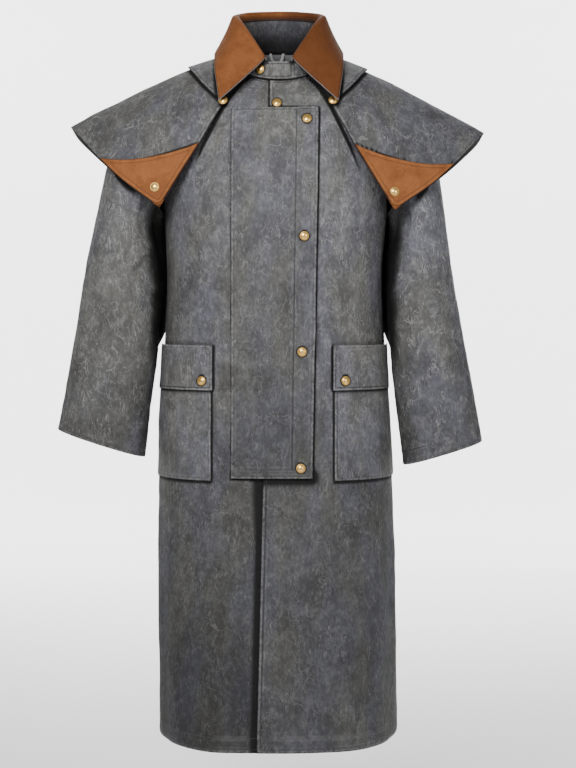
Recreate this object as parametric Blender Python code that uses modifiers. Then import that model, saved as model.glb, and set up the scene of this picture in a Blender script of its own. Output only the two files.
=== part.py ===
"""A long duster coat with a shoulder cape, in the hollow shape that it keeps when it is worn.

Metres, +Z up. The front faces -Y, and +X is the wearer's left. The origin is in the middle of the neck
at the height of the collar seam. Each cut piece is a thin wall: a grid of points on its outer face, worked
out from the sections below, and the same grid moved in by the thickness of the cloth.
"""

import math

import bpy
import numpy as np
from mathutils import Vector

MM = 0.001

# Cloth and seams
CLOTH = 2.0 * MM
COLLAR_CLOTH = 2.4 * MM
TRIM_CLOTH = 1.4 * MM
SEAM_GAP = 0.3 * MM
UNDERLAP_GAP = 1.0 * MM
LAID_GAP = 0.6 * MM

# Heights of the coat
HEM_Z = -1.187
UNDERARM_Z = -0.265

# Neckline, an ellipse round the neck that rises from front to back
NECK_X = 0.003
NECK_HALF_WIDTH = 0.078
NECK_FRONT = 0.088
NECK_BACK = 0.075
NECK_FRONT_Z = -0.030
NECK_SIDE_Z = 0.012
NECK_BACK_Z = 0.034
NECK_ANGLE = 35.0

# Shoulder seam and armhole
SHOULDER_X = 0.222
SHOULDER_Z = -0.062
ARMHOLE_FRONT_CUT = 33.0
ARMHOLE_BACK_CUT = 27.0

# Roundness of a section: 2 is an ellipse, more is squarer
BODY_SQUARENESS = 2.5
SLEEVE_SQUARENESS = 2.5

# Front closure
FRONT_ROWS_SKIRT = 17
FRONT_ROWS_CHEST = 10
FRONT_COLUMNS = 15
BACK_COLUMNS = 26
LEFT_FRONT_EDGE_TOP = -0.013
LEFT_FRONT_EDGE_HEM = -0.035
RIGHT_FRONT_EDGE = 0.030
RIGHT_FRONT_INSET_FROM = -0.078
RIGHT_FRONT_INSET_TO = -0.040

# Storm flap over the closure
FLAP_TOP_Z = -0.0815
FLAP_HEM_Z = -0.720
FLAP_LEFT_X = -0.078
FLAP_RIGHT_TOP_X = 0.0715
FLAP_RIGHT_HEM_X = 0.0600
FLAP_LIFT = 3.0 * MM

# Pockets
POCKET_TOP_Z = -0.508
POCKET_HEM_Z = -0.725
POCKET_FLAP_TOP_Z = -0.492
POCKET_FLAP_HEM_Z = -0.570
POCKET_INNER_X = {"right": -0.1135, "left": 0.0990}
POCKET_SIDE_SHARE = 0.965
POCKET_FLAP_SPARE = 0.9
POCKET_FULLNESS = 3.0 * MM

# Cape, its yoke and its corner patches
CAPE_FRONT_ANGLE = 38.0
CAPE_COLUMNS = 44
CAPE_ROWS = 9
CAPE_MID = 0.45
CAPE_RISE = 6.0 * MM
CAPE_LEFT_DROP = 11.0 * MM
YOKE_REACH = 0.28
YOKE_LIFT = 2.2 * MM
PATCH_FRONT_REACH = 0.45
PATCH_HEM_ANGLE = 66.0
PATCH_MARGIN = 1.5 * MM

# Collar
COLLAR_FRONT_ANGLE = 18.0
COLLAR_TOP_HALF_WIDTH = 0.0735
COLLAR_TOP_FRONT = 0.0860
COLLAR_TOP_BACK = 0.0800
COLLAR_FOLD_FRONT_Z = 0.0075
COLLAR_FOLD_SIDE_Z = 0.0925
COLLAR_FOLD_BACK_Z = 0.1120
COLLAR_LEG_FRONT = 0.006
COLLAR_LEG_BACK = 0.016
COLLAR_FOLD_RADIUS = 4.8 * MM
COLLAR_STEP = 9.0

# Brass snaps
SNAP_RADIUS = 8.2 * MM
SNAP_HEIGHT = 2.3 * MM
SNAP_STEPS = 12
SNAP_SEAT = 0.3 * MM


class Table:
    """Rows of sizes with named columns, read as smooth curves along the first column."""

    def __init__(self, columns, rows):
        self.columns = columns.split()
        self.values = np.array(rows, float)

    def at(self, name, where):
        keys = self.values[:, 0]
        values = self.values[:, self.columns.index(name)]
        slopes = np.gradient(values, keys)
        where = np.clip(where, keys[0], keys[-1])
        low = np.clip(np.searchsorted(keys, where, side="right") - 1, 0, len(keys) - 2)
        span = keys[low + 1] - keys[low]
        part = (where - keys[low]) / span
        ease = part * part * (3 - 2 * part)
        start = part * (1 - part) ** 2
        end = part * part * (1 - part)
        return (
            values[low]
            + (values[low + 1] - values[low]) * ease
            + span * (slopes[low] * start - slopes[low + 1] * end)
        )

    def point(self, where, prefix=""):
        return np.stack([self.at(prefix + axis, where) for axis in "xyz"], axis=-1)


# Sections of the body from the hem up to the underarm: half widths and depths from the middle line
BODY = Table(
    "height left right front back",
    (
        (-1.187, 0.213, 0.216, 0.211, 0.215),
        (-1.000, 0.214, 0.214, 0.196, 0.205),
        (-0.840, 0.214, 0.210, 0.184, 0.190),
        (-0.720, 0.213, 0.206, 0.174, 0.176),
        (-0.570, 0.207, 0.196, 0.163, 0.162),
        (-0.450, 0.200, 0.190, 0.157, 0.153),
        (-0.350, 0.197, 0.187, 0.155, 0.148),
        (-0.265, 0.203, 0.196, 0.155, 0.146),
    ),
)

# Soft folds of the skirt: where round the coat, half width in degrees, height at the hem, and the
# level above which the fold has died away
FOLDS = Table(
    "angle width height start",
    (
        (-160, 19, 0.009, -0.20),
        (-123, 18, 0.008, -0.35),
        (-66, 17, -0.005, -0.30),
        (-31, 18, 0.009, -0.40),
        (36, 18, 0.006, -0.45),
        (68, 17, -0.005, -0.30),
        (121, 18, 0.008, -0.35),
        (157, 18, 0.009, -0.30),
    ),
)

# Sections of each sleeve from the armhole to the cuff. The outer and inner edges are as seen from the
# front; the middle is how far forward the arm hangs, and the depth is half the sleeve from front to back
SLEEVE_COLUMNS = "station outer_x outer_z inner_x inner_z middle depth"
SLEEVES = {
    "right": Table(
        SLEEVE_COLUMNS,
        (
            (0.00, -0.222, -0.062, -0.203, -0.265, 0.000, 0.072),
            (0.08, -0.259, -0.080, -0.208, -0.288, -0.004, 0.080),
            (0.18, -0.288, -0.122, -0.2045, -0.318, -0.012, 0.084),
            (0.30, -0.305, -0.182, -0.2020, -0.355, -0.020, 0.084),
            (0.42, -0.3190, -0.252, -0.2020, -0.395, -0.026, 0.082),
            (0.55, -0.3365, -0.333, -0.2050, -0.440, -0.031, 0.079),
            (0.70, -0.3540, -0.440, -0.2135, -0.520, -0.037, 0.074),
            (0.85, -0.3710, -0.543, -0.2255, -0.608, -0.043, 0.069),
            (1.00, -0.3900, -0.642, -0.2340, -0.692, -0.048, 0.064),
        ),
    ),
    "left": Table(
        SLEEVE_COLUMNS,
        (
            (0.00, 0.222, -0.062, 0.196, -0.265, 0.000, 0.072),
            (0.08, 0.257, -0.081, 0.201, -0.288, -0.004, 0.080),
            (0.18, 0.278, -0.122, 0.1965, -0.320, -0.012, 0.083),
            (0.30, 0.2880, -0.190, 0.1930, -0.360, -0.020, 0.082),
            (0.42, 0.2980, -0.262, 0.1920, -0.402, -0.026, 0.080),
            (0.55, 0.3125, -0.368, 0.1955, -0.466, -0.031, 0.077),
            (0.70, 0.3285, -0.464, 0.2035, -0.545, -0.037, 0.073),
            (0.85, 0.3475, -0.566, 0.2145, -0.635, -0.043, 0.068),
            (1.00, 0.3640, -0.663, 0.2230, -0.706, -0.048, 0.064),
        ),
    ),
}
SLEEVE_ROWS = 17

# Dents across the inner bend of each arm: station, angle round the sleeve, reach along and round, depth
ARM_DENTS = (
    (0.36, 165.0, 0.045, 42.0, 0.007),
    (0.49, 150.0, 0.040, 46.0, 0.008),
    (0.61, 170.0, 0.040, 40.0, 0.006),
    (0.55, 300.0, 0.050, 50.0, 0.006),
)

# The cape round the neck: the point half way down and the point on its hem, for the wearer's left side
CAPE = Table(
    "angle mid_x mid_y mid_z hem_x hem_y hem_z",
    (
        (38, 0.1200, -0.122, -0.1220, 0.2030, -0.132, -0.2545),
        (62, 0.1660, -0.097, -0.0760, 0.2900, -0.104, -0.1880),
        (76, 0.1920, -0.054, -0.0430, 0.3520, -0.056, -0.1260),
        (90, 0.2080, 0.000, -0.0230, 0.3710, -0.002, -0.1030),
        (104, 0.1960, 0.048, -0.0300, 0.3560, 0.056, -0.1240),
        (118, 0.1760, 0.086, -0.0480, 0.3050, 0.112, -0.1800),
        (148, 0.1120, 0.136, -0.0780, 0.1850, 0.165, -0.2580),
        (180, 0.0000, 0.150, -0.0900, 0.0000, 0.180, -0.2920),
    ),
)
CAPE_FLUTES = Table(
    "angle width height",
    (
        (75, 10, -0.004),
        (104, 10, 0.007),
        (125, 11, -0.008),
        (148, 11, 0.009),
        (171, 11, -0.007),
    ),
)

# The outer edge of the collar's fall, for the wearer's left side, from the point to the centre back
COLLAR_EDGE = Table(
    "angle x y z",
    (
        (18, 0.1030, -0.1290, -0.0710),
        (40, 0.1110, -0.0900, -0.0160),
        (62, 0.1125, -0.0400, 0.0150),
        (90, 0.1110, 0.0120, 0.0300),
        (130, 0.0890, 0.0850, 0.0400),
        (180, 0.0000, 0.1150, 0.0440),
    ),
)

# Each snap, the piece that carries it, and where it is seen from the front
SNAPS = (
    ("snap_flap_1", "storm_flap", 0.0520, -0.1015),
    ("snap_flap_2", "storm_flap", 0.0470, -0.3040),
    ("snap_flap_3", "storm_flap", 0.0430, -0.5030),
    ("snap_flap_4", "storm_flap", 0.0410, -0.7020),
    ("snap_placket", "front_left", 0.0000, -0.0720),
    ("snap_throat", "collar_stand", -0.0296, -0.0115),
    ("snap_pocket_right", "pocket_flap_right", -0.1303, -0.5533),
    ("snap_pocket_left", "pocket_flap_left", 0.1186, -0.5530),
    ("snap_cape_right", "cape_patch_right", -0.2110, -0.2190),
    ("snap_cape_left", "cape_patch_left", 0.2030, -0.2270),
    ("snap_yoke_right", "cape_yoke", -0.0935, -0.0690),
    ("snap_yoke_left", "cape_yoke", 0.0970, -0.0690),
)

MATERIALS = {
    "canvas": ((0.125, 0.127, 0.130, 1.0), 0.85, 0.0),
    "leather": ((0.330, 0.150, 0.062, 1.0), 0.60, 0.0),
    "brass": ((0.780, 0.560, 0.250, 1.0), 0.30, 1.0),
    "loop": ((0.300, 0.320, 0.350, 1.0), 0.80, 0.0),
}


def clear_scene():
    for thing in list(bpy.data.objects):
        bpy.data.objects.remove(thing)


def make_collection():
    found = bpy.data.collections.new("duster_coat")
    bpy.context.scene.collection.children.link(found)
    return found


def make_materials():
    made = {}
    for name, (colour, roughness, metallic) in MATERIALS.items():
        material = bpy.data.materials.new(name)
        material.use_nodes = True
        shader = material.node_tree.nodes["Principled BSDF"]
        shader.inputs["Base Color"].default_value = colour
        shader.inputs["Roughness"].default_value = roughness
        shader.inputs["Metallic"].default_value = metallic
        made[name] = material
    return made


def between(start, end, part):
    return start + (end - start) * part


def ease(value):
    value = np.clip(value, 0.0, 1.0)
    return value * value * (3 - 2 * value)


def unit(vectors):
    return vectors / np.linalg.norm(vectors, axis=-1, keepdims=True)


def bump(distance):
    """A smooth hump of height 1 that reaches 0 at a distance of 1."""
    return np.where(np.abs(distance) < 1, (1 + np.cos(np.pi * np.clip(distance, -1, 1))) / 2, 0.0)


def angle_apart(a, b):
    return (a - b + 180.0) % 360.0 - 180.0


def skirt_folds(angle, level):
    """How far the skirt's folds stand out. They grow towards the hem and leave the side seams alone."""
    total = np.zeros(np.broadcast(angle, level).shape)
    for where, width, height, start in FOLDS.values:
        grown = ease((start - level) / (start + 1.0))
        total = total + height * grown * bump(angle_apart(angle, where) / width)
    return total


def neckline(angle):
    """The neck seam, with the angle in degrees round from centre front."""
    sine, cosine = np.sin(np.radians(angle)), np.cos(np.radians(angle))
    depth = np.where(cosine > 0, NECK_FRONT, NECK_BACK)
    end = np.where(cosine > 0, NECK_FRONT_Z, NECK_BACK_Z)
    height = between(NECK_SIDE_Z, end, np.abs(cosine))
    return np.stack([NECK_X + NECK_HALF_WIDTH * sine, -depth * cosine, height], axis=-1)


def top_edge(angle):
    """The neckline near the centres and the shoulder seam beyond it, for an angle round the body."""
    sine, cosine = np.sin(np.radians(angle)), np.cos(np.radians(angle))
    from_centre = np.degrees(np.arccos(np.clip(np.abs(cosine), 0, 1)))
    round_neck = np.clip(from_centre / NECK_ANGLE, 0, 1) * 90.0
    facing = np.where(cosine > 0, round_neck, 180.0 - round_neck) * np.where(sine < 0, -1, 1)
    neck = neckline(facing)
    along = np.sin(np.radians(90.0 * np.clip((from_centre - NECK_ANGLE) / (90.0 - NECK_ANGLE), 0, 1)))
    end = np.stack([np.where(sine < 0, -SHOULDER_X, SHOULDER_X), 0 * sine, 0 * sine + SHOULDER_Z], axis=-1)
    return between(neck, end, along[..., None])


def body(angle, level):
    """The coat's outer face. The angle is round from centre front, positive towards +X. The level is -1 at
    the hem, 0 at the underarm and 1 at the neckline and the shoulder seams."""
    angle, level = np.broadcast_arrays(np.asarray(angle, float), np.asarray(level, float))
    sine, cosine = np.sin(np.radians(angle)), np.cos(np.radians(angle))
    height = UNDERARM_Z + (UNDERARM_Z - HEM_Z) * np.minimum(level, 0)
    half = np.where(sine > 0, BODY.at("right", height), BODY.at("left", height))
    depth = np.where(cosine > 0, BODY.at("front", height), BODY.at("back", height))
    power = BODY_SQUARENESS
    swell = (np.abs(sine) ** power + np.abs(cosine) ** power) ** (-1 / power)
    folds = skirt_folds(angle, level)
    ring = np.stack([(half * swell + folds) * sine, -(depth * swell + folds) * cosine, height], axis=-1)

    rise = np.maximum(level, 0)
    top = top_edge(angle)
    from_centre = np.degrees(np.arccos(np.clip(np.abs(cosine), 0, 1)))
    shoulder = ease(from_centre / NECK_ANGLE)
    quarter = np.radians(90.0 * rise)
    share = np.stack(
        [
            rise**1.5,
            between(rise**2, 1 - np.cos(quarter), shoulder),
            between(rise, np.sin(quarter), shoulder),
        ],
        axis=-1,
    )
    return between(ring, top, share)


def body_normal(angle, level):
    """The way that the coat's outer face looks, where its slopes along and across are measured."""
    across = body(angle + 0.5, level) - body(angle - 0.5, level)
    step = 0.004
    up = body(angle, np.minimum(level + step, 1.0)) - body(angle, np.maximum(level - step, -1.0))
    return unit(np.cross(across, up))


def body_at(x, z):
    """The angle and level of the point on the coat's front that lies at this place, seen from the front."""
    x, z = np.broadcast_arrays(np.asarray(x, float), np.asarray(z, float))
    angle = np.degrees(np.arcsin(np.clip(x / 0.22, -0.95, 0.95)))
    level = np.where(z < UNDERARM_Z, (z - UNDERARM_Z) / (UNDERARM_Z - HEM_Z), (z - UNDERARM_Z) / 0.25)
    level = np.clip(level, -1.0, 0.97)
    for _ in range(12):
        here = body(angle, level)
        by_angle = (body(angle + 0.2, level) - here) / 0.2
        by_level = (body(angle, level + 0.002) - here) / 0.002
        off_x, off_z = x - here[..., 0], z - here[..., 2]
        scale = by_angle[..., 0] * by_level[..., 2] - by_angle[..., 2] * by_level[..., 0]
        angle = angle + (off_x * by_level[..., 2] - off_z * by_level[..., 0]) / scale
        level = level + (by_angle[..., 0] * off_z - by_angle[..., 2] * off_x) / scale
        level = np.clip(level, -1.0, 0.995)
    return angle, level


def on_front(x, z, out):
    """A point this far out from the coat's front, at this place seen from the front."""
    angle, level = body_at(x, z)
    return body(angle, level) + body_normal(angle, level) * np.asarray(out)[..., None]


def grid_normals(points, closed):
    if closed:
        across = np.roll(points, -1, axis=1) - np.roll(points, 1, axis=1)
    else:
        across = np.gradient(points, axis=1)
    return unit(np.cross(across, np.gradient(points, axis=0)))


class Piece:
    """A cut piece: the grid of its outer face, rows from its lower edge up, columns towards +X at the front."""

    def __init__(
        self, name, points, material="canvas", thickness=CLOTH, closed=False, flip=False, cut=SEAM_GAP / 2
    ):
        self.name = name
        self.points = np.array(points, float)
        self.material = material
        self.thickness = thickness
        self.closed = closed
        self.normals = grid_normals(self.points, closed) * (-1 if flip else 1)
        self.flip = flip
        self.cut = cut

    def rim(self):
        """Row and column of each point on the piece's edges."""
        rows, columns = self.points.shape[:2]
        for row in range(rows):
            for column in range(columns):
                at_end = column in (0, columns - 1) and not self.closed
                if row in (0, rows - 1) or at_end:
                    yield row, column

    def trim(self):
        """Draws each edge in along the cloth, to leave the gap at a seam."""
        step = self.cut
        points = self.points
        before = points.copy()
        points[0] += unit(before[1] - before[0]) * step
        points[-1] += unit(before[-2] - before[-1]) * step
        if not self.closed:
            points[:, 0] += unit(before[:, 1] - before[:, 0]) * step
            points[:, -1] += unit(before[:, -2] - before[:, -1]) * step


def share_seams(pieces):
    """Where two pieces are sewn edge to edge, gives both the same direction for their thickness."""
    corners = [(piece, spot) for piece in pieces for spot in piece.rim()]
    places = np.array([piece.points[spot] for piece, spot in corners])
    before = np.array([piece.normals[spot] for piece, spot in corners])
    for index, (piece, spot) in enumerate(corners):
        near = np.linalg.norm(places - places[index], axis=1) < 0.1 * MM
        alike = near & (before @ before[index] > 0.2)
        piece.normals[spot] = unit(before[alike].sum(axis=0))


def square_shoulders(panel):
    """Along the shoulder seams, sets the thickness of the cloth square to the seam."""
    for column in range(panel.points.shape[1]):
        if abs(panel.points[-1, column, 1]) < 0.01 * MM:
            side = math.copysign(1.0, panel.points[-1, column, 0])
            run = SHOULDER_X - NECK_HALF_WIDTH - side * NECK_X
            panel.normals[-1, column] = unit(np.array([side * (NECK_SIDE_Z - SHOULDER_Z), 0.0, run]))


def wall_mesh(name, outer, inner, closed):
    """A closed mesh between two grids of points, with a rim round the edges."""
    rows, columns = outer.shape[:2]
    count = rows * columns
    points = np.concatenate([outer.reshape(-1, 3), inner.reshape(-1, 3)])
    faces = []

    def rim(start, end):
        """Two triangles from the outer to the inner edge, split alike on both sides of a seam."""
        first = np.linalg.norm(points[start] - points[end + count])
        second = np.linalg.norm(points[end] - points[start + count])
        if first < second:
            faces.extend([(end, start, end + count), (start, start + count, end + count)])
        else:
            faces.extend([(end, start, start + count), (end, start + count, end + count)])

    last = columns if closed else columns - 1
    for row in range(rows - 1):
        for column in range(last):
            here, right = row * columns + column, row * columns + (column + 1) % columns
            faces.append((here, right, right + columns, here + columns))
            faces.append((here + columns + count, right + columns + count, right + count, here + count))
    for column in range(last):
        here, right = column, (column + 1) % columns
        top = (rows - 1) * columns
        rim(here, right)
        rim(top + right, top + here)
    if not closed:
        for row in range(rows - 1):
            here, above = row * columns, (row + 1) * columns
            rim(above, here)
            rim(here + columns - 1, above + columns - 1)
    mesh = bpy.data.meshes.new(name)
    mesh.from_pydata(points.tolist(), [], faces)
    mesh.update()
    return mesh


def build_wall(piece, collection, materials):
    inner = piece.points - piece.normals * piece.thickness
    outer = piece.points
    if piece.flip:
        outer, inner = outer[:, ::-1], inner[:, ::-1]
    mesh = wall_mesh(piece.name, outer, inner, piece.closed)
    mesh.shade_smooth()
    mesh.set_sharp_from_angle(angle=math.radians(50))
    made = bpy.data.objects.new(piece.name, mesh)
    made.data.materials.append(materials[piece.material])
    collection.objects.link(made)
    return made


def body_levels():
    skirt = np.linspace(-1.0, 0.0, FRONT_ROWS_SKIRT)
    chest = np.linspace(0.0, 1.0, FRONT_ROWS_CHEST + 1)[1:]
    return np.concatenate([skirt, chest])


def armhole_angle(level, cut):
    """Angle from the centre at which a panel ends: the side seam, or the armhole above the underarm."""
    return 90.0 - cut * np.sin(np.pi * np.clip(level, 0, 1)) ** 0.8


def edge_angle(level, x):
    """Angle of a front edge that hangs at this distance from the middle line."""
    low, high = np.full(level.shape, -60.0), np.full(level.shape, 60.0)
    for _ in range(40):
        middle = (low + high) / 2
        beyond = body(middle, level)[..., 0] > x
        high = np.where(beyond, middle, high)
        low = np.where(beyond, low, middle)
    return (low + high) / 2


def right_front_inset(x):
    """How far the right front lies in, under the left front that laps over it."""
    part = (x - RIGHT_FRONT_INSET_FROM) / (RIGHT_FRONT_INSET_TO - RIGHT_FRONT_INSET_FROM)
    return (CLOTH + UNDERLAP_GAP) * ease(part)


def front_edges(side, level):
    """Angles of a front panel's centre edge and of its side at each level."""
    if side == "left":
        x = between(LEFT_FRONT_EDGE_HEM, LEFT_FRONT_EDGE_TOP, np.minimum(level, 0) + 1)
        return edge_angle(level, x), armhole_angle(level, ARMHOLE_FRONT_CUT)
    x = np.full(level.shape, RIGHT_FRONT_EDGE)
    return edge_angle(level, x), -armhole_angle(level, ARMHOLE_FRONT_CUT)


def make_front(side):
    levels = body_levels()
    edge, end = front_edges(side, levels)
    share = np.linspace(0.0, 1.0, FRONT_COLUMNS + 1)
    if side == "left":
        angles = between(edge[:, None], end[:, None], share)
        return Piece("front_left", body(angles, levels[:, None]))
    angles = between(end[:, None], edge[:, None], share)
    points = body(angles, levels[:, None])
    inset = right_front_inset(points[..., 0])[..., None]
    return Piece("front_right", points - grid_normals(points, False) * inset)


def make_back():
    levels = body_levels()
    share = np.linspace(0.0, 1.0, BACK_COLUMNS + 1)
    side = armhole_angle(levels, ARMHOLE_BACK_CUT)[:, None]
    angles = between(180.0 - side, 180.0 + side, share)
    return Piece("back", body(angles, levels[:, None]))


def armhole(side, around):
    """The edge that a sleeve is sewn to: 0 is the shoulder point, 90 the front, 180 the underarm."""
    level = np.abs(1.0 - around / 180.0)
    front = armhole_angle(level, ARMHOLE_FRONT_CUT)
    back = 180.0 - armhole_angle(level, ARMHOLE_BACK_CUT)
    angle = np.where(around <= 180.0, front, back)
    return body(angle if side == "left" else -angle, level)


def sleeve_ring(side, around, station):
    sections = SLEEVES[side]
    sine, cosine = np.sin(np.radians(around)), np.cos(np.radians(around))
    power = SLEEVE_SQUARENESS
    swell = (np.abs(sine) ** power + np.abs(cosine) ** power) ** (-1 / power)
    outer_part = (1 + cosine * swell) / 2
    x = between(sections.at("inner_x", station), sections.at("outer_x", station), outer_part)
    z = between(sections.at("inner_z", station), sections.at("outer_z", station), outer_part)
    y = sections.at("middle", station) - sections.at("depth", station) * sine * swell
    return np.stack([x, y, z], axis=-1)


def sleeve(side, around, station):
    """The outer face of a sleeve, which leaves the armhole's own edge and settles into its sections."""
    around, station = np.broadcast_arrays(np.asarray(around, float), np.asarray(station, float))
    points = sleeve_ring(side, around, station)
    start = sleeve_ring(side, around, np.zeros(station.shape))
    still = np.clip(1 - station / 0.28, 0, 1) ** 2
    points = points + (armhole(side, around) - start) * still[..., None]
    middle = (sleeve_ring(side, 0.0 * around, station) + sleeve_ring(side, 0.0 * around + 180.0, station)) / 2
    outward = unit(points - middle)
    dent = np.zeros(station.shape)
    for where, angle, along, wide, depth in ARM_DENTS:
        dent += depth * bump((station - where) / along) * bump(angle_apart(around, angle) / wide)
    return points - outward * dent[..., None]


def make_sleeve(side):
    count = 2 * FRONT_ROWS_CHEST
    around = np.arange(count) * (360.0 / count)
    station = np.linspace(1.0, 0.0, SLEEVE_ROWS + 1)[:, None] ** 1.15
    points = sleeve(side, around, station)
    return Piece("sleeve_" + side, points, closed=True, flip=side == "left", cut=1.3 * SEAM_GAP)


def collar_ring(angle):
    """Plan of the collar's upper part round the neck, and the way out from it."""
    sine, cosine = np.sin(np.radians(angle)), np.cos(np.radians(angle))
    depth = np.where(cosine > 0, COLLAR_TOP_FRONT, COLLAR_TOP_BACK)
    place = np.stack([NECK_X + COLLAR_TOP_HALF_WIDTH * sine, -depth * cosine], axis=-1)
    out = unit(np.stack([sine / COLLAR_TOP_HALF_WIDTH, -cosine / depth], axis=-1))
    return place, out


def collar_rise(angle):
    """0 at the collar's front ends and 1 from the sides of the neck to the back."""
    start = math.sin(math.radians(COLLAR_FRONT_ANGLE))
    slope = (np.abs(np.sin(np.radians(angle))) - start) / (1 - start)
    return np.where(np.cos(np.radians(angle)) > 0, np.clip(slope, 0, 1), 1.0)


def collar_fold_z(angle):
    behind = np.clip(-np.cos(np.radians(angle)), 0, 1)
    side = between(COLLAR_FOLD_FRONT_Z, COLLAR_FOLD_SIDE_Z, collar_rise(angle))
    return side + (COLLAR_FOLD_BACK_Z - COLLAR_FOLD_SIDE_Z) * behind


def collar_seam_z(angle):
    return collar_fold_z(angle) - between(COLLAR_LEG_FRONT, COLLAR_LEG_BACK, collar_rise(angle))


def make_stand():
    """The band round the neck. Its outer end laps over the inner one at the front and snaps shut."""
    turns = np.arange(-2, 41 + 4) * COLLAR_STEP
    angle = -turns
    lap = (CLOTH + UNDERLAP_GAP) * ease((turns - 310.0) / 30.0)
    base = neckline(angle)
    place, out = collar_ring(angle)
    top = np.concatenate([place, (collar_seam_z(angle) - SEAM_GAP)[:, None]], axis=1)
    foot = base + np.array([0.0, 0.0, LAID_GAP])
    away = np.concatenate([out, 0 * out[:, :1]], axis=1) * lap[:, None]
    rows = [between(foot, top, part) + away for part in (0.0, 0.5, 1.0)]
    return Piece("collar_stand", np.array(rows), flip=True)


def mirrored(table, angle, prefix=""):
    """A point from a table of the wearer's left side, or its mirror image for a negative angle."""
    point = table.point(np.abs(angle), prefix)
    point[..., 0] *= np.where(angle < 0, -1, 1)
    return point


def round_the_back(start, count):
    """Angles from the wearer's left front round the back to the right front, as signed angles."""
    turns = np.linspace(start, 360.0 - start, count)
    return np.where(turns <= 180.0, turns, turns - 360.0)


def make_fall():
    """The folded part of the collar: a short leg up from the stand, the fold, and the fall with its points."""
    angle = round_the_back(COLLAR_FRONT_ANGLE, round((360.0 - 2 * COLLAR_FRONT_ANGLE) / COLLAR_STEP) + 1)
    place, out = collar_ring(angle)
    fold = collar_fold_z(angle)
    radius = COLLAR_FOLD_RADIUS
    inner = (COLLAR_CLOTH - CLOTH) / 2

    def section(offset, height):
        return np.concatenate([place + out * offset, np.broadcast_to(height, fold.shape)[:, None]], axis=1)

    rows = [section(inner, collar_seam_z(angle)), section(inner, fold - radius)]
    for turn in (45.0, 90.0, 135.0):
        turned = math.radians(turn)
        rows.append(
            section(inner + radius * (1 - math.cos(turned)), fold - radius * (1 - math.sin(turned)))
        )
    start = section(inner + 2 * radius, fold - radius)
    end = mirrored(COLLAR_EDGE, angle)
    end[:, 0] += NECK_X
    outward = np.concatenate([out, 0 * out[:, :1]], axis=1)
    for part in (0.0, 0.2, 0.45, 0.72, 1.0):
        bulge = outward * (-1.5 * MM * math.sin(math.pi * part))
        rows.append(between(start, end, part) + bulge)
    return Piece("collar_fall", np.array(rows), material="leather", thickness=COLLAR_CLOTH)


def cape(angle, reach):
    """The cape's outer face. The reach is 0 at the neck and 1 at the hem."""
    angle, reach = np.broadcast_arrays(np.asarray(angle, float), np.asarray(reach, float))
    around, out = collar_ring(angle)
    neck = neckline(angle)
    neck[..., :2] += out * 5.0 * MM
    neck[..., 2] += 11.0 * MM
    middle = mirrored(CAPE, angle, "mid_")
    hem = mirrored(CAPE, angle, "hem_")
    at_middle = reach * (1 - reach) / (CAPE_MID * (1 - CAPE_MID))
    at_hem = reach * (reach - CAPE_MID) / (1 - CAPE_MID)
    at_neck = (reach - CAPE_MID) * (reach - 1) / CAPE_MID
    point = neck * at_neck[..., None] + middle * at_middle[..., None] + hem * at_hem[..., None]
    front = ease((110.0 - np.abs(angle)) / 60.0)
    raised = CAPE_RISE * front * np.sin(np.pi * np.clip(reach / 0.55, 0, 1)) ** 0.6
    point[..., 2] += raised
    point[..., 1] -= 0.8 * raised
    point[..., 2] -= CAPE_LEFT_DROP * reach * np.clip(np.sin(np.radians(angle)), 0, 1) ** 2
    flute = np.zeros(angle.shape)
    for where, width, height in CAPE_FLUTES.values:
        flute += height * bump((np.abs(angle) - where) / width)
    plan = unit(np.stack([np.sin(np.radians(angle)), -np.cos(np.radians(angle))], axis=-1))
    point[..., :2] += plan * (flute * reach**2)[..., None]
    return point


def cape_normal(angle, reach):
    across = cape(angle + 0.5, reach) - cape(angle - 0.5, reach)
    down = cape(angle, np.minimum(reach + 0.01, 1.0)) - cape(angle, np.maximum(reach - 0.01, 0.0))
    return unit(np.cross(down, across))


def on_cape(angle, reach, out):
    return cape(angle, reach) + cape_normal(angle, reach) * np.asarray(out)[..., None]


def make_cape():
    angle = round_the_back(CAPE_FRONT_ANGLE, CAPE_COLUMNS + 1)
    reach = np.linspace(1.0, 0.0, CAPE_ROWS + 1)[:, None]
    return Piece("cape", cape(angle, reach))


def yoke_out(reach):
    """Height of the yoke's outer face over the cape, which is greatest at its free edge."""
    return 2 * LAID_GAP + CLOTH + YOKE_LIFT * ease(np.asarray(reach) / YOKE_REACH)


def make_yoke():
    angle = round_the_back(CAPE_FRONT_ANGLE, CAPE_COLUMNS + 1)
    rows = [row / CAPE_ROWS for row in range(CAPE_ROWS) if row / CAPE_ROWS < YOKE_REACH]
    reach, angle = np.broadcast_arrays(np.array([YOKE_REACH, *rows[::-1]])[:, None], angle)
    return Piece("cape_yoke", on_cape(angle, reach, yoke_out(reach)))


def make_patch(side):
    """The tan corner of the cape: rows leave the corner and run from the front edge to the hem."""
    sign = 1 if side == "left" else -1
    rows = []
    for out in np.linspace(0.06, 1.0, 9):
        along = np.linspace(0.0, 1.0, 9)
        reach = 1.0 - (1.0 - along) * out * PATCH_FRONT_REACH
        angle = CAPE_FRONT_ANGLE + along * out * (PATCH_HEM_ANGLE - CAPE_FRONT_ANGLE)
        rows.append(on_cape(sign * (angle + 0.35), reach - 0.006, np.full(9, LAID_GAP + TRIM_CLOTH)))
    return Piece(
        "cape_patch_" + side,
        np.array(rows),
        material="leather",
        thickness=TRIM_CLOTH,
        flip=side == "right",
    )


def flap_out(x, z):
    """Height of the storm flap's outer face over the coat. Its free edges lift a little."""
    low = ease((FLAP_HEM_Z + 0.080 - z) / 0.080)
    free = ease((x - 0.020) / 0.050)
    return LAID_GAP + CLOTH + FLAP_LIFT * low + 0.8 * MM * free


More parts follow.
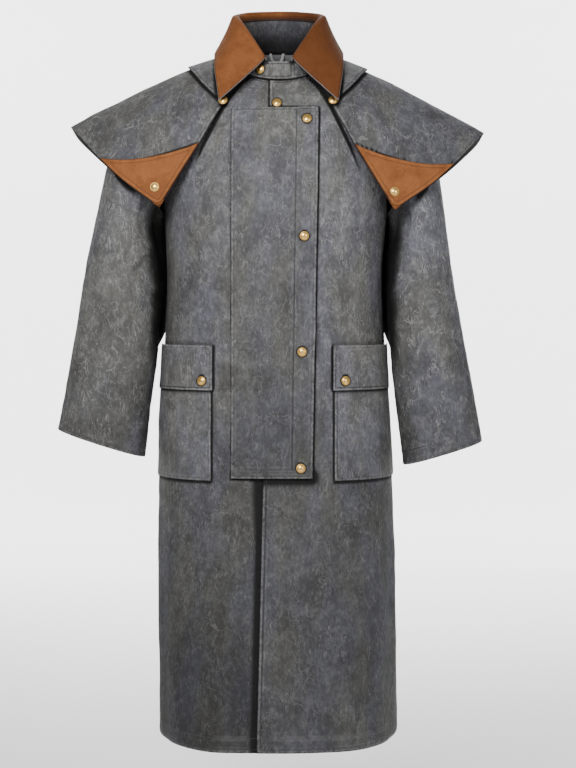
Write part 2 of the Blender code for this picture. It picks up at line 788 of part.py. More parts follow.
def make_storm_flap():
    rows = np.linspace(0.0, 1.0, 23)[:, None]
    share = np.linspace(0.0, 1.0, 7)
    right = between(FLAP_RIGHT_HEM_X, FLAP_RIGHT_TOP_X, rows)
    x = between(FLAP_LEFT_X, right, share)
    z = np.broadcast_to(between(FLAP_HEM_Z, FLAP_TOP_Z, rows), x.shape)
    return Piece("storm_flap", on_front(x, z, flap_out(x, z)))


def pocket_out(share, rise):
    """Height of a pocket's outer face over the coat: its edges are sewn down and its middle is full."""
    fullness = np.sin(np.pi * np.clip(share, 0, 1)) ** 0.6 * np.clip(rise / 0.25, 0, 1)
    return LAID_GAP + TRIM_CLOTH + POCKET_FULLNESS * fullness


def flap_over_pocket(share):
    return pocket_out(share, 1.0) + TRIM_CLOTH + LAID_GAP


def pocket_grid(side, low, high, spare):
    """Angles and levels for a pocket or its flap, on the front panel's own rows and columns in between."""
    to_level = 1.0 / (UNDERARM_Z - HEM_Z)
    rows = body_levels()
    low, high = (low - UNDERARM_Z) * to_level, (high - UNDERARM_Z) * to_level
    step = 0.25 * (rows[1] - rows[0])
    levels = np.array([low, *[row for row in rows if low + step < row < high - step], high])
    edge, end = front_edges(side, levels)
    sign = 1 if side == "left" else -1
    inner = edge_angle(levels, np.full(levels.shape, POCKET_INNER_X[side])) - sign * spare
    start = (inner - edge) / (end - edge)
    finish = np.full(levels.shape, POCKET_SIDE_SHARE)
    columns = [column / FRONT_COLUMNS for column in range(FRONT_COLUMNS + 1)]
    inside = [part for part in columns if start.max() + 0.02 < part < POCKET_SIDE_SHARE - 0.02]
    shares = np.stack([start, *[np.full(levels.shape, part) for part in inside], finish], axis=1)
    across = (shares - start[:, None]) / (finish - start)[:, None]
    return between(edge[:, None], end[:, None], shares), levels[:, None], across


def out_from_body(angle, level, out):
    return body(angle, level) + body_normal(angle, level) * np.asarray(out)[..., None]


def make_pocket(side):
    angle, level, across = pocket_grid(side, POCKET_HEM_Z, POCKET_TOP_Z, 0.0)
    rise = (level - level[0]) / (level[-1] - level[0])
    points = out_from_body(angle, level, pocket_out(across, rise))
    return Piece("pocket_" + side, points, thickness=TRIM_CLOTH, flip=side == "right")


def make_pocket_flap(side):
    angle, level, across = pocket_grid(side, POCKET_FLAP_HEM_Z, POCKET_FLAP_TOP_Z, POCKET_FLAP_SPARE)
    points = out_from_body(angle, level, flap_over_pocket(across))
    return Piece("pocket_flap_" + side, points, thickness=TRIM_CLOTH, flip=side == "right")


def make_loop():
    """The hanging loop, a narrow strip in a U inside the back of the neck."""
    turn = np.radians(np.linspace(0.0, 180.0, 11))
    half_width, drop, strip = 0.009, 0.016, 0.005
    line = np.stack([-half_width * np.cos(turn), 0 * turn, -drop * np.sin(turn)], axis=-1)
    away = np.stack([-np.cos(turn), 0 * turn, -np.sin(turn)], axis=-1)
    centre = np.array([NECK_X - 0.004, NECK_BACK - CLOTH - 2.9 * MM, NECK_BACK_Z + 0.001])
    rows = [centre + line + away * offset for offset in (0.0, strip)]
    return Piece("hang_loop", np.array(rows), material="loop", thickness=1.4 * MM)


def build_snap(name, carrier, x, z, collection, materials):
    """A snap's cap, turned round its post. Lines from the front find the cloth that it sits on, under its
    middle and its rim, and it is set just clear of the highest."""
    profile = (
        (0.0, SNAP_HEIGHT),
        (4.8 * MM, SNAP_HEIGHT * 0.92),
        (7.3 * MM, SNAP_HEIGHT * 0.50),
        (SNAP_RADIUS, SNAP_HEIGHT * 0.12),
        (SNAP_RADIUS - 0.2 * MM, 0.0),
        (0.0, 0.0),
    )
    mesh = bpy.data.meshes.new(name)
    edges = [(i, i + 1) for i in range(len(profile) - 1)]
    mesh.from_pydata([(out, 0.0, height) for out, height in profile], edges, [])
    made = bpy.data.objects.new(name, mesh)
    collection.objects.link(made)
    made.data.materials.append(materials["brass"])
    turned = made.modifiers.new("turned", "SCREW")
    turned.steps = turned.render_steps = SNAP_STEPS
    turned.use_merge_vertices = True
    turned.merge_threshold = 0.00001
    turns = [math.radians(45.0 * turn) for turn in range(8)]
    spots = [(0.0, 0.0), *[(0.95 * math.cos(turn), 0.95 * math.sin(turn)) for turn in turns]]
    found = []
    for right, up in spots:
        start = Vector((x + right * SNAP_RADIUS, -1.0, z + up * SNAP_RADIUS))
        hit, place, normal, _ = carrier.ray_cast(start, Vector((0.0, 1.0, 0.0)))
        if hit:
            found.append((place, normal))
    normal = sum((normal for _, normal in found), Vector()).normalized()
    lift = max((place - found[0][0]).dot(normal) for place, _ in found)
    made.location = found[0][0] + normal * (lift + SNAP_SEAT)
    made.rotation_mode = "QUATERNION"
    made.rotation_quaternion = normal.to_track_quat("Z", "Y")
    return made


def main():
    clear_scene()
    collection = make_collection()
    materials = make_materials()
    sides = ("right", "left")
    sewn = [*[make_front(side) for side in sides], make_back(), *[make_sleeve(side) for side in sides]]
    for panel in sewn[:3]:
        square_shoulders(panel)
    share_seams(sewn)
    laid = [make_stand(), make_fall(), make_cape(), make_yoke(), make_storm_flap(), make_loop()]
    laid += [make(side) for make in (make_patch, make_pocket, make_pocket_flap) for side in sides]
    for piece in sewn:
        piece.trim()
    walls = {piece.name: build_wall(piece, collection, materials) for piece in sewn + laid}
    bpy.context.view_layer.update()
    for name, carrier, x, z in SNAPS:
        build_snap(name, walls[carrier], x, z, collection, materials)


main()
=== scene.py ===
"""The looks of a long duster coat with a shoulder cape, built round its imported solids.

Each cloth piece is a thin shell on its own solid's form: the solid's mesh is copied, subdivided and
given its creases. The seams, stitches, snaps and materials are made here. The frame is +Z up, the coat
faces -Y, and all sizes are in metres.
"""

import math

import bmesh
import bpy
import numpy as np
from mathutils import Matrix, Vector
from mathutils.bvhtree import BVHTree
from mathutils.kdtree import KDTree


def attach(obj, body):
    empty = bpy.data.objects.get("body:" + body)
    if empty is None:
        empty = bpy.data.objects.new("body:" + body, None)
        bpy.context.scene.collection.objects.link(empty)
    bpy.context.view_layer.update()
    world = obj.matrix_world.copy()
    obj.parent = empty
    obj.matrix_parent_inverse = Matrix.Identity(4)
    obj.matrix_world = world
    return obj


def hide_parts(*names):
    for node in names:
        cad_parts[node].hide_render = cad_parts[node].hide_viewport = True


bl_info = {
    "name": "Duster coat",
    "version": (1, 0, 0),
    "blender": (4, 5, 0),
    "location": "3D View > Sidebar > Coat",
    "description": "Dresses the packed solids of a long duster coat with cloth, leather, brass and thread",
    "category": "Object",
}

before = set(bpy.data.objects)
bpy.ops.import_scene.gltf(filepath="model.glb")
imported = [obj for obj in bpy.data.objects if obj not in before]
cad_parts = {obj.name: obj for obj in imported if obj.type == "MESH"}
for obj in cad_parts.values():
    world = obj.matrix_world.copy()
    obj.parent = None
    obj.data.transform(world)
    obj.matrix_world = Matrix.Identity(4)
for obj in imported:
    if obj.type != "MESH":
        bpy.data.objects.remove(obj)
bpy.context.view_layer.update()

MM = 0.001
RIM_ANGLE = math.radians(65)  # from here on a face turns into the cloth's cut edge
FACE_ANGLE = math.radians(50)  # faces that meet at less belong to the same side of the cloth
SMOOTH_ANGLE = math.radians(50)
FAR = 1.0  # metres, further than any row


def linear(red, green, blue):
    """A colour given as 0 to 255 in sRGB, as linear red, green and blue."""
    return tuple(
        v / 12.92 if v <= 0.04045 else ((v + 0.055) / 1.055) ** 2.4
        for v in (red / 255, green / 255, blue / 255)
    )


def scaled(rgb, factor):
    """A colour that is this many times as bright, and at most white."""
    return tuple(min(1, factor * c) for c in rgb)


# ---------------------------------------------------------------- what a user may change


def colour(name, description, *rgb):
    return bpy.props.FloatVectorProperty(
        name=name, description=description, subtype="COLOR", size=3, min=0, max=1, default=linear(*rgb)
    )


def length(name, description, value):
    return bpy.props.FloatProperty(
        name=name, description=description, default=value, min=0, unit="LENGTH", precision=4
    )


def share(name, description, value):
    return bpy.props.FloatProperty(
        name=name, description=description, default=value, min=0, max=4, subtype="FACTOR"
    )


def watts(name, description, value):
    return bpy.props.FloatProperty(name=name, description=description, default=value, min=0, unit="POWER")


class CanvasLook(bpy.types.PropertyGroup):
    """Colours and sizes of the washed canvas."""

    ground: colour("Ground", "Colour of the cloth between the streaks", 98, 98, 101)
    streak: colour("Streak", "Colour where the cloth is worn along its wrinkles", 150, 149, 149)
    shade: colour("Shade", "Colour in the dark specks", 62, 61, 61)
    olive: colour("Warm patch", "Tint of the warm patches", 99, 99, 95)
    blue: colour("Cool patch", "Tint of the cool patches", 97, 97, 106)
    # painted shade: the inner side is the same canvas, drawn this dark as shade
    inside_shade: colour("Inside", "Colour of the cloth's inner side", 52, 50, 48)
    wrinkle: length("Wrinkle size", "Distance between wrinkles", 0.026)
    weave: length("Thread pitch", "Distance between the threads of the weave", 0.0011)
    contrast: share("Contrast", "How much streaks and specks stand out", 1.0)


class LeatherLook(bpy.types.PropertyGroup):
    """Colours and sizes of the tan trim."""

    tan: colour("Tan", "Main colour of the trim", 137, 85, 48)
    dark: colour("Dark", "Colour in its pores and low places", 98, 54, 26)
    pale: colour("Pale", "Colour where it is rubbed", 152, 98, 56)
    grain: length("Grain size", "Distance between the pores", 0.0022)


class TrimLook(bpy.types.PropertyGroup):
    """Colours of brass, thread and tape, and the stitches' sizes."""

    brass: colour("Brass", "Colour of the snap caps", 242, 198, 116)
    # also drawn on the caps' outer slope, rim and underside as painted shade
    tarnish_and_shade: colour("Tarnish", "Colour in the caps' grooves", 92, 66, 36)
    thread: colour("Canvas thread", "Thread on the canvas", 62, 62, 64)
    trim_thread: colour("Trim thread", "Thread on the tan trim", 96, 58, 32)
    tape: colour("Tape", "Colour of the hanging loop", 150, 150, 152)
    pitch: length("Stitch pitch", "From one stitch to the next", 0.0036)
    stitch: length("Stitch length", "Length of one stitch", 0.0028)
    width: length("Thread width", "Width of one stitch", 0.0009)


class StageLook(bpy.types.PropertyGroup):
    """The floor, the light and the camera."""

    floor: colour("Floor", "Colour of the floor and backdrop", 250, 250, 250)
    floor_z: bpy.props.FloatProperty(
        name="Floor height", description="Height of the floor", default=-1.46, unit="LENGTH"
    )
    sky: share("Surround", "Strength of the light from all around", 0.42)
    key: watts("Key light", "Power of the main light in watts", 62.0)
    fill: watts("Fill light", "Power of the second light in watts", 18.0)
    rear: watts("Rear light", "Power of the light behind the coat in watts", 24.0)
    wall: watts("Backdrop light", "Power of each light on the backdrop in watts", 330.0)


def look(kind):
    return getattr(bpy.context.scene, f"coat_{kind}")


# ---------------------------------------------------------------- materials


class Amount:
    """A value that varies over a surface. Arithmetic on it adds Math nodes."""

    def __init__(self, recipe, socket):
        self.recipe, self.socket = recipe, socket

    def __add__(self, other):
        return self.recipe.maths("ADD", self, other)

    def __sub__(self, other):
        return self.recipe.maths("SUBTRACT", self, other)

    def __rsub__(self, other):
        return self.recipe.maths("SUBTRACT", other, self)

    def __mul__(self, other):
        return self.recipe.maths("MULTIPLY", self, other)

    def __abs__(self):
        return self.recipe.maths("ABSOLUTE", self)

    __radd__ = __add__
    __rmul__ = __mul__

    def most(self, other):
        return self.recipe.maths("MAXIMUM", self, other)

    def step(self, start, end, low=0.0, high=1.0):
        """low up to start, high from end, and a smooth way between."""
        return self.recipe.node(
            "ShaderNodeMapRange",
            {"interpolation_type": "SMOOTHSTEP"},
            {"Value": self, "From Min": start, "From Max": end, "To Min": low, "To Max": high},
        )


class Recipe:
    """A material and the nodes that it is made of."""

    def __init__(self, name):
        self.material = bpy.data.materials.new(name)
        self.material.use_nodes = True
        self.tree = self.material.node_tree
        self.tree.nodes.clear()
        self.place = self.node("ShaderNodeTexCoord", output="Object")

    def node(self, kind, settings=None, values=None, output=0):
        made = self.tree.nodes.new(kind)
        for name, value in (settings or {}).items():
            setattr(made, name, value)
        for name, value in (values or {}).items():
            if isinstance(value, Amount):
                self.tree.links.new(value.socket, made.inputs[name])
            else:
                made.inputs[name].default_value = value
        return Amount(self, made.outputs[output])

    def maths(self, operation, *values):
        return self.node("ShaderNodeMath", {"operation": operation}, dict(enumerate(values)))

    def vectors(self, operation, values):
        return self.node("ShaderNodeVectorMath", {"operation": operation}, values)

    def mix(self, factor, a, b):
        """Colour a where the factor is 0 and b where it is 1."""
        a, b = (x if isinstance(x, Amount) else (*x, 1) for x in (a, b))
        return self.node(
            "ShaderNodeMix",
            {"data_type": "RGBA", "blend_type": "MIX", "clamp_factor": True},
            {0: factor, 6: a, 7: b},
            output=2,
        )

    def stretched(self, height):
        """The place, with its heights multiplied by this. Below 1, noise there is drawn out upright."""
        return self.node("ShaderNodeMapping", None, {"Vector": self.place, "Scale": (1.0, 1.0, height)})

    def noise(self, size, detail, roughness, place=None, output=0):
        """Cloudy noise whose clouds are about this size, from about 0.2 to 0.8."""
        return self.node(
            "ShaderNodeTexNoise",
            None,
            {"Vector": place or self.place, "Scale": 1 / size, "Detail": detail, "Roughness": roughness},
            output,
        )

    def cells(self, size, place):
        """How far the place is from the edge of its cell, for cells of about this size."""
        return self.node(
            "ShaderNodeTexVoronoi",
            {"feature": "DISTANCE_TO_EDGE"},
            {"Vector": place, "Scale": 1 / size},
        )

    def waves(self, size, direction):
        """Ridges this far apart, from 0 to 1."""
        return self.node(
            "ShaderNodeTexWave",
            {"wave_type": "BANDS", "bands_direction": direction},
            {"Vector": self.place, "Scale": math.pi / (10 * size)},
            output=1,
        )

    def weave(self, pitch):
        """Threads that cross at this pitch."""
        return self.waves(pitch, "X") * self.waves(pitch, "Z")

    def shifted(self, size, reach, place=None):
        """The place, moved about by as much as the reach, by noise of this size."""
        cloud = self.noise(size, 2.0, 0.5, place, output=1)
        centred = self.vectors("SUBTRACT", {0: cloud, 1: (0.5, 0.5, 0.5)})
        short = self.vectors("SCALE", {0: centred, "Scale": 2 * reach})
        return self.vectors("ADD", {0: place or self.place, 1: short})

    def attribute(self, name):
        return self.node("ShaderNodeAttribute", {"attribute_name": name}, output="Fac")

    def axis(self, letter):
        return self.node("ShaderNodeSeparateXYZ", None, {0: self.place}, output=letter)

    def bump(self, height, depth, under=None):
        """A normal from a height of 0 to 1 that is this deep in metres."""
        values = {"Height": height, "Distance": depth, "Strength": 1.0}
        if under:
            values["Normal"] = under
        return self.node("ShaderNodeBump", None, values)

    def finish(self, base, roughness, normal, **constants):
        shader = self.tree.nodes.new("ShaderNodeBsdfPrincipled")
        output = self.tree.nodes.new("ShaderNodeOutputMaterial")
        self.tree.links.new(shader.outputs[0], output.inputs[0])
        for name, value in (("Base Color", base), ("Roughness", roughness), ("Normal", normal)):
            if isinstance(value, Amount):
                self.tree.links.new(value.socket, shader.inputs[name])
            elif value is not None:
                shader.inputs[name].default_value = value
        for name, value in constants.items():
            shader.inputs[name.replace("_", " ").title().replace("Ior", "IOR")].default_value = value
        return self.material


def fibres(recipe, place, turn, size, mask):
    """Thin broken lines that run mostly one way, turned from upright by this many degrees."""
    turned = recipe.node(
        "ShaderNodeMapping",
        None,
        {"Vector": place, "Rotation": (0, math.radians(turn), 0), "Scale": (1.0, 1.0, 0.30)},
    )
    field = recipe.noise(size, 2.0, 0.55, turned)
    return abs(field - 0.5).step(0.0, 0.032, 1.0, 0.0) * mask


def canvas_parts(recipe, look_of, darker=None):
    """Colour and roughness of washed canvas, then its streaks, clouds, specks and weave, without seams.

    The factor darker draws the cloth towards black, as painted shade.
    """
    upright = recipe.stretched(0.72)
    bent = recipe.shifted(0.035, 0.011, upright)
    finely_bent = recipe.shifted(0.012, 0.0035, bent)
    amount = look_of.contrast

    # wrinkles where the colour has rubbed off: the edges of bent cells, broken up by noise
    here = recipe.noise(0.030, 3.0, 0.6, upright)
    there = recipe.noise(0.024, 3.0, 0.6, bent)
    big = recipe.cells(look_of.wrinkle, finely_bent).step(0.0, 0.034, 1.0, 0.0)
    broken = big * here.step(0.50, 0.62)
    # worn fibres in groups that lean different ways
    zones = recipe.noise(0.060, 2.0, 0.5, upright)
    upright_lines = fibres(recipe, finely_bent, 0, 0.0065, zones.step(0.40, 0.50) * there.step(0.42, 0.56))
    right_lines = fibres(recipe, finely_bent, 34, 0.0060, zones.step(0.47, 0.38) * there.step(0.45, 0.58))
    left_lines = fibres(recipe, finely_bent, -42, 0.0068, here.step(0.52, 0.42) * there.step(0.44, 0.57))
    streaks = (broken * 0.62).most(upright_lines * 0.78).most(right_lines * 0.88).most(left_lines * 0.78)

    clouds = recipe.noise(0.050, 5.0, 0.60, bent)
    smudges = recipe.noise(0.016, 3.0, 0.55, finely_bent)
    specks = recipe.noise(0.0052, 4.0, 0.70, upright)
    columns = recipe.noise(0.060, 2.0, 0.5, recipe.stretched(0.34))
    tints = columns + recipe.axis("X") * 0.22

    base = recipe.mix(tints.step(0.38, 0.50), look_of.olive[:], look_of.ground[:])
    base = recipe.mix(tints.step(0.50, 0.62), base, look_of.blue[:])
    base = recipe.mix(clouds.step(0.30, 0.60, 0.62 * amount, 0.0), base, look_of.shade[:])
    base = recipe.mix(smudges.step(0.34, 0.56, 0.30 * amount, 0.0), base, look_of.shade[:])
    base = recipe.mix(smudges.step(0.52, 0.70, 0.0, 0.20 * amount), base, look_of.streak[:])
    base = recipe.mix(specks.step(0.36, 0.56, 0.36 * amount, 0.0), base, look_of.shade[:])
    base = recipe.mix(specks.step(0.50, 0.72, 0.0, 0.24 * amount), base, look_of.streak[:])
    worn = (0.70 * amount) + recipe.attribute("wear") * (0.30 * amount)
    base = recipe.mix(streaks * worn, base, look_of.streak[:])
    # painted shade, when a factor is given
    if darker:
        base = recipe.mix(darker, base, scaled(look_of.shade, 0.05))

    rough = 0.62 + 0.22 * specks - 0.10 * streaks
    return base, rough, streaks, clouds, specks, recipe.weave(look_of.weave)


def make_canvas(name):
    """The coat's canvas, with painted shade towards the hem, along its cut edges, in its stitched rows and
    beside pieces that lie on it, and paler along its edges.
    """
    recipe, colours = Recipe(name), look("canvas")
    low = recipe.axis("Z")
    # painted shade: darker in bands from the waist to the hem, and then darker or lighter by the piece's own
    # painted shading
    dark = (
        low.step(-0.42, -0.22, 0.18, 0.0)
        + low.step(-0.80, -0.42, 0.30, 0.0)
        + low.step(-1.14, -0.80, 0.05, 0.0)
        + recipe.attribute("painted_shading")
    )
    base, rough, streaks, clouds, specks, weave = canvas_parts(recipe, colours, dark)
    black = scaled(colours.shade, 0.12)

    rim, row = recipe.attribute("rim"), recipe.attribute("row")
    rim_shade, cover = recipe.attribute("rim_shade"), recipe.attribute("cover")
    worn = rim.step(0.0015, 0.0060, 1.0, 0.0) * specks.step(0.38, 0.60)
    base = recipe.mix(worn * 0.30, base, colours.streak[:])
    # painted shade: a black line along the cut edge, as strong as the piece's rim value in LAID_ON
    base = recipe.mix(rim.step(0.0003, 0.0024, 0.92, 0.0) * rim_shade, base, black)
    beside = abs(row - 0.0032).step(0.0, 0.0022, 1.0, 0.0) * clouds.step(0.40, 0.56)
    base = recipe.mix(beside * 0.08, base, colours.streak[:])
    # painted shade in the groove along each stitched row
    valley = row.step(0.0002, 0.0018, 1.0, 0.0)
    base = recipe.mix(valley * 0.50, base, black)
    # painted shadow beside the edges of pieces that lie on this one, round its snaps and on the sleeves' sides
    # against the coat
    base = recipe.mix(cover.step(0.45, 1.0, 0.97, 0.0), base, black)
    pucker = recipe.noise(0.009, 2.0, 0.5) * row.step(0.002, 0.012, 1.0, 0.0)

    height = streaks * 0.45 + clouds * 1.5 + specks * 0.30 + pucker * 1.1 - valley * 0.6
    normal = recipe.bump(height, 0.0011)
    normal = recipe.bump(weave, 0.00012, normal)
    return recipe.finish(base, rough, normal, specular_ior_level=0.15)


def make_inside(name):
    """The plain inner side of the canvas, painted dark as shade, with a paler strip inside the back of the neck.
    """
    recipe, colours = Recipe(name), look("canvas")
    cloud = recipe.noise(0.05, 4.0, 0.6)
    speck = recipe.noise(0.004, 3.0, 0.7)
    base = recipe.mix(cloud.step(0.35, 0.65), scaled(colours.inside_shade, 0.8), colours.inside_shade[:])
    base = recipe.mix(speck.step(0.45, 0.7, 0.0, 0.35), base, scaled(colours.inside_shade, 1.6))
    facing = recipe.axis("Z").step(0.002, 0.008) * recipe.axis("Y").step(0.0, 0.02)
    base = recipe.mix(facing * (0.45 + 0.4 * speck), base, colours.ground[:])
    normal = recipe.bump(cloud * 1.2 + speck * 0.4, 0.0009)
    normal = recipe.bump(recipe.weave(colours.weave), 0.00014, normal)
    return recipe.finish(base, 0.62 + 0.25 * speck, normal, sheen_weight=0.1, specular_ior_level=0.25)


def make_neck(name):
    """The canvas inside the collar stand, in the stand's shade, which is deepest low down."""
    recipe = Recipe(name)
    shaded = recipe.axis("Z").step(0.045, 0.100, 0.95, 0.46)
    base, rough, streaks, clouds, _, weave = canvas_parts(recipe, look("canvas"), shaded)
    normal = recipe.bump(streaks + clouds, 0.0006)
    return recipe.finish(base, rough, recipe.bump(weave, 0.00012, normal), specular_ior_level=0.1)


def leather_parts(recipe, colours):
    """Colour, roughness and height of the tan trim, and where it is rubbed."""
    bent = recipe.shifted(0.02, 0.006)
    pores = recipe.cells(colours.grain, recipe.shifted(0.004, 0.0008))
    pore = pores.step(0.0, 0.16, 1.0, 0.0)
    cloud = recipe.noise(0.030, 5.0, 0.6, bent)
    rubbed = recipe.noise(0.013, 4.0, 0.6, bent)
    base = recipe.mix(cloud.step(0.34, 0.60, 0.45, 0.0), colours.tan[:], colours.dark[:])
    base = recipe.mix(rubbed.step(0.52, 0.72, 0.0, 0.5), base, colours.pale[:])
    base = recipe.mix(pore * 0.35, base, colours.dark[:])
    crease = abs(recipe.noise(0.02, 3.0, 0.5, bent) - 0.5).step(0.0, 0.02, 1.0, 0.0)
    crease = crease * recipe.noise(0.05, 1.0, 0.5).step(0.48, 0.60)
    base = recipe.mix(crease * 0.30, base, colours.dark[:])
    height = cloud * 0.9 - pore * 0.25 - crease * 0.4
    rough = 0.60 + 0.2 * rubbed + 0.15 * pore
    return base, rough, height, rubbed


def make_leather(name):
    recipe, colours = Recipe(name), look("leather")
    base, rough, height, rubbed = leather_parts(recipe, colours)
    rim = recipe.attribute("rim")
    row = recipe.attribute("row").step(0.0003, 0.0016, 1.0, 0.0)
    base = recipe.mix(rim.step(0.001, 0.008, 0.45, 0.0) * rubbed.step(0.4, 0.6), base, colours.pale[:])
    base = recipe.mix(row * 0.22, base, colours.dark[:])
    base = recipe.mix(rim.step(0.0002, 0.0022, 0.75, 0.0), base, scaled(colours.dark, 0.3))
    normal = recipe.bump(height - row * 0.6, 0.0008)
    return recipe.finish(base, rough, normal, specular_ior_level=0.15)


def make_collar_cloth(name):
    """Tan outside and round the fold, canvas further inside painted dark as shade, with a grey edge on the
    wings.
    """
    recipe, colours, canvas = Recipe(name), look("leather"), look("canvas")
    base, rough, height, rubbed = leather_parts(recipe, colours)
    rim = recipe.attribute("rim")
    inner = recipe.attribute("inside_shade")
    row = recipe.attribute("row").step(0.0003, 0.0016, 1.0, 0.0)
    base = recipe.mix(row * 0.25, base, colours.dark[:])
    # painted shade: both wings are drawn darker, and the wearer's left wing, which faces away from the light,
    # much more
    base = recipe.mix(recipe.axis("X").step(0.0, 0.03, 0.20, 0.72), base, scaled(colours.dark, 0.55))
    base = recipe.mix(rim.step(0.0012, 0.0030, 0.8, 0.0), base, scaled(colours.dark, 0.35))
    base = recipe.mix(rim.step(0.0004, 0.0016, 1.0, 0.0), base, linear(150, 146, 142))
    mask = inner.step(0.45, 0.55)
    # painted shade: the canvas inside the fall is drawn dark, and almost black deep down
    plain = canvas_parts(recipe, canvas)[0]
    plain = recipe.mix(0.72, plain, scaled(canvas.shade, 0.35))
    plain = recipe.mix(inner.step(0.55, 0.92, 0.0, 0.95), plain, scaled(canvas.shade, 0.06))
    base = recipe.mix(mask, base, plain)
    # painted shade in the groove where the tan ends inside the fold
    ridge = abs(inner - 0.5).step(0.03, 0.14, 1.0, 0.0)
    base = recipe.mix(ridge * 0.6, base, scaled(colours.dark, 0.2))
    normal = recipe.bump(height - row * 0.6 - ridge * 0.4, 0.0008)
    return recipe.finish(base, rough + 0.2 * mask, normal, specular_ior_level=0.12)


def make_brass(name):
    recipe, colours = Recipe(name), look("trim")
    cap_tarnish_and_shade = recipe.attribute("cap_tarnish_and_shade")
    cloud = recipe.noise(0.004, 4.0, 0.6)
    scratch = recipe.noise(0.0012, 3.0, 0.7, recipe.stretched(5))
    base = recipe.mix(cloud.step(0.45, 0.75, 0.0, 0.35), colours.brass[:], colours.tarnish_and_shade[:])
    # tarnish in the caps' groove, and painted shade on their outer slope, rim and underside
    base = recipe.mix(cap_tarnish_and_shade * 0.85, base, scaled(colours.tarnish_and_shade, 0.5))
    rough = 0.20 + 0.20 * cloud + 0.3 * cap_tarnish_and_shade
    return recipe.finish(base, rough, recipe.bump(scratch, 0.00004), metallic=1.0)


def make_thread(name, rgb):
    recipe = Recipe(name)
    fluff = recipe.noise(0.0016, 2.0, 0.6)
    base = recipe.mix(fluff.step(0.35, 0.7), scaled(rgb, 0.6), scaled(rgb, 1.35))
    ply = recipe.waves(0.0008, "DIAGONAL")
    return recipe.finish(base, 0.7 + 0.2 * fluff, recipe.bump(ply, 0.0001))


def make_tape(name):
    recipe, colours = Recipe(name), look("trim")
    rib = recipe.waves(0.0009, "X")
    fleck = recipe.noise(0.003, 3.0, 0.6)
    base = recipe.mix(fleck.step(0.35, 0.65), scaled(colours.tape, 0.7), colours.tape[:])
    base = recipe.mix(rib * 0.3, base, scaled(colours.tape, 0.5))
    return recipe.finish(base, 0.8 + 0.1 * fleck, recipe.bump(rib, 0.0002), sheen_weight=0.1)


MATERIALS = {}


def material(name):
    """The material of this name, made when it is first asked for."""
    makers = {
        "canvas": make_canvas,
        "inside": make_inside,
        "neck": make_neck,
        "leather": make_leather,
        "collar": make_collar_cloth,
        "brass": make_brass,
        "tape": make_tape,
        "canvas_thread": lambda n: make_thread(n, look("trim").thread[:]),
        "trim_thread": lambda n: make_thread(n, look("trim").trim_thread[:]),
    }
    if name not in MATERIALS:
        MATERIALS[name] = makers[name](f"coat_{name}")
    return MATERIALS[name]


# ---------------------------------------------------------------- creases


def smooth(x, low, high):
    t = np.clip((x - low) / (high - low), 0, 1)
    return t * t * (3 - 2 * t)


def along_line(u, z, line):
    """(distance to a line of points, how far along it from 0 to 1), for many places at once."""
    line = np.asarray(line, float)
    steps = np.linalg.norm(np.diff(line, axis=0), axis=1)
    before = np.concatenate([[0], np.cumsum(steps)])
    nearest, share_of = np.full(len(u), np.inf), np.zeros(len(u))
    for k, step in enumerate(steps):
        direction = (line[k + 1] - line[k]) / step
        t = np.clip((u - line[k, 0]) * direction[0] + (z - line[k, 1]) * direction[1], 0, step)
        gap = np.hypot(u - line[k, 0] - t * direction[0], z - line[k, 1] - t * direction[1])
        closer = gap < nearest
        nearest = np.where(closer, gap, nearest)
        share_of = np.where(closer, (before[k] + t) / before[-1], share_of)
    return nearest, share_of


def crease_height(points, normals, creases):
    """Outward height of the listed creases: rows of (side it is seen from in degrees, width, height, line)."""
    height = np.zeros(len(points))
    for azimuth, width, rise, line in creases:
        a = math.radians(azimuth)
        u = points[:, 0] * math.cos(a) + points[:, 1] * math.sin(a)
        facing = normals[:, 0] * math.sin(a) - normals[:, 1] * math.cos(a)
        gap, part = along_line(u, points[:, 2], line)
        across = np.exp(-((gap / width) ** 2))
        # it runs out towards both ends and where the cloth turns away
        along = np.sin(math.pi * (0.08 + 0.84 * part))
        height += rise * across * along * smooth(facing, 0.05, 0.4)
    return height


def mirrored(creases):
    """The same creases on the coat's other side."""
    return tuple(
        (-azimuth % 360, width, rise, tuple((-u, z) for u, z in line)) for azimuth, width, rise, line in creases
    )


def ripples(points, size, seed):
    """Even, shallow unevenness from -1 to 1, the same on each run."""
    x, y, z = (points / size).T
    total = np.zeros(len(points))
    for k in range(5):
        a = math.sin(seed * 12.9 + k * 4.1)
        b = math.cos(seed * 7.3 + k * 2.7)
        c = math.sin(seed * 3.7 + k * 5.9)
        bend = 1.3 * np.sin(0.6 * x * b - 0.7 * z * a + k)
        total += np.sin(x * (1 + 0.7 * a) + y * (1.2 * b) + z * (0.8 + 0.6 * c) + bend)
    return total / 5


# rows of the side it is seen from in degrees, width, height and line; the first number of a point is
# x as seen from the front, -x from behind and y from the wearer's left
SIDE_CREASES = (
    (90, 0.020, 0.0046, ((-0.050, -0.760), (-0.060, -0.95), (-0.070, -1.18))),
    (90, 0.020, 0.0046, ((0.060, -0.620), (0.078, -0.90), (0.090, -1.18))),
)

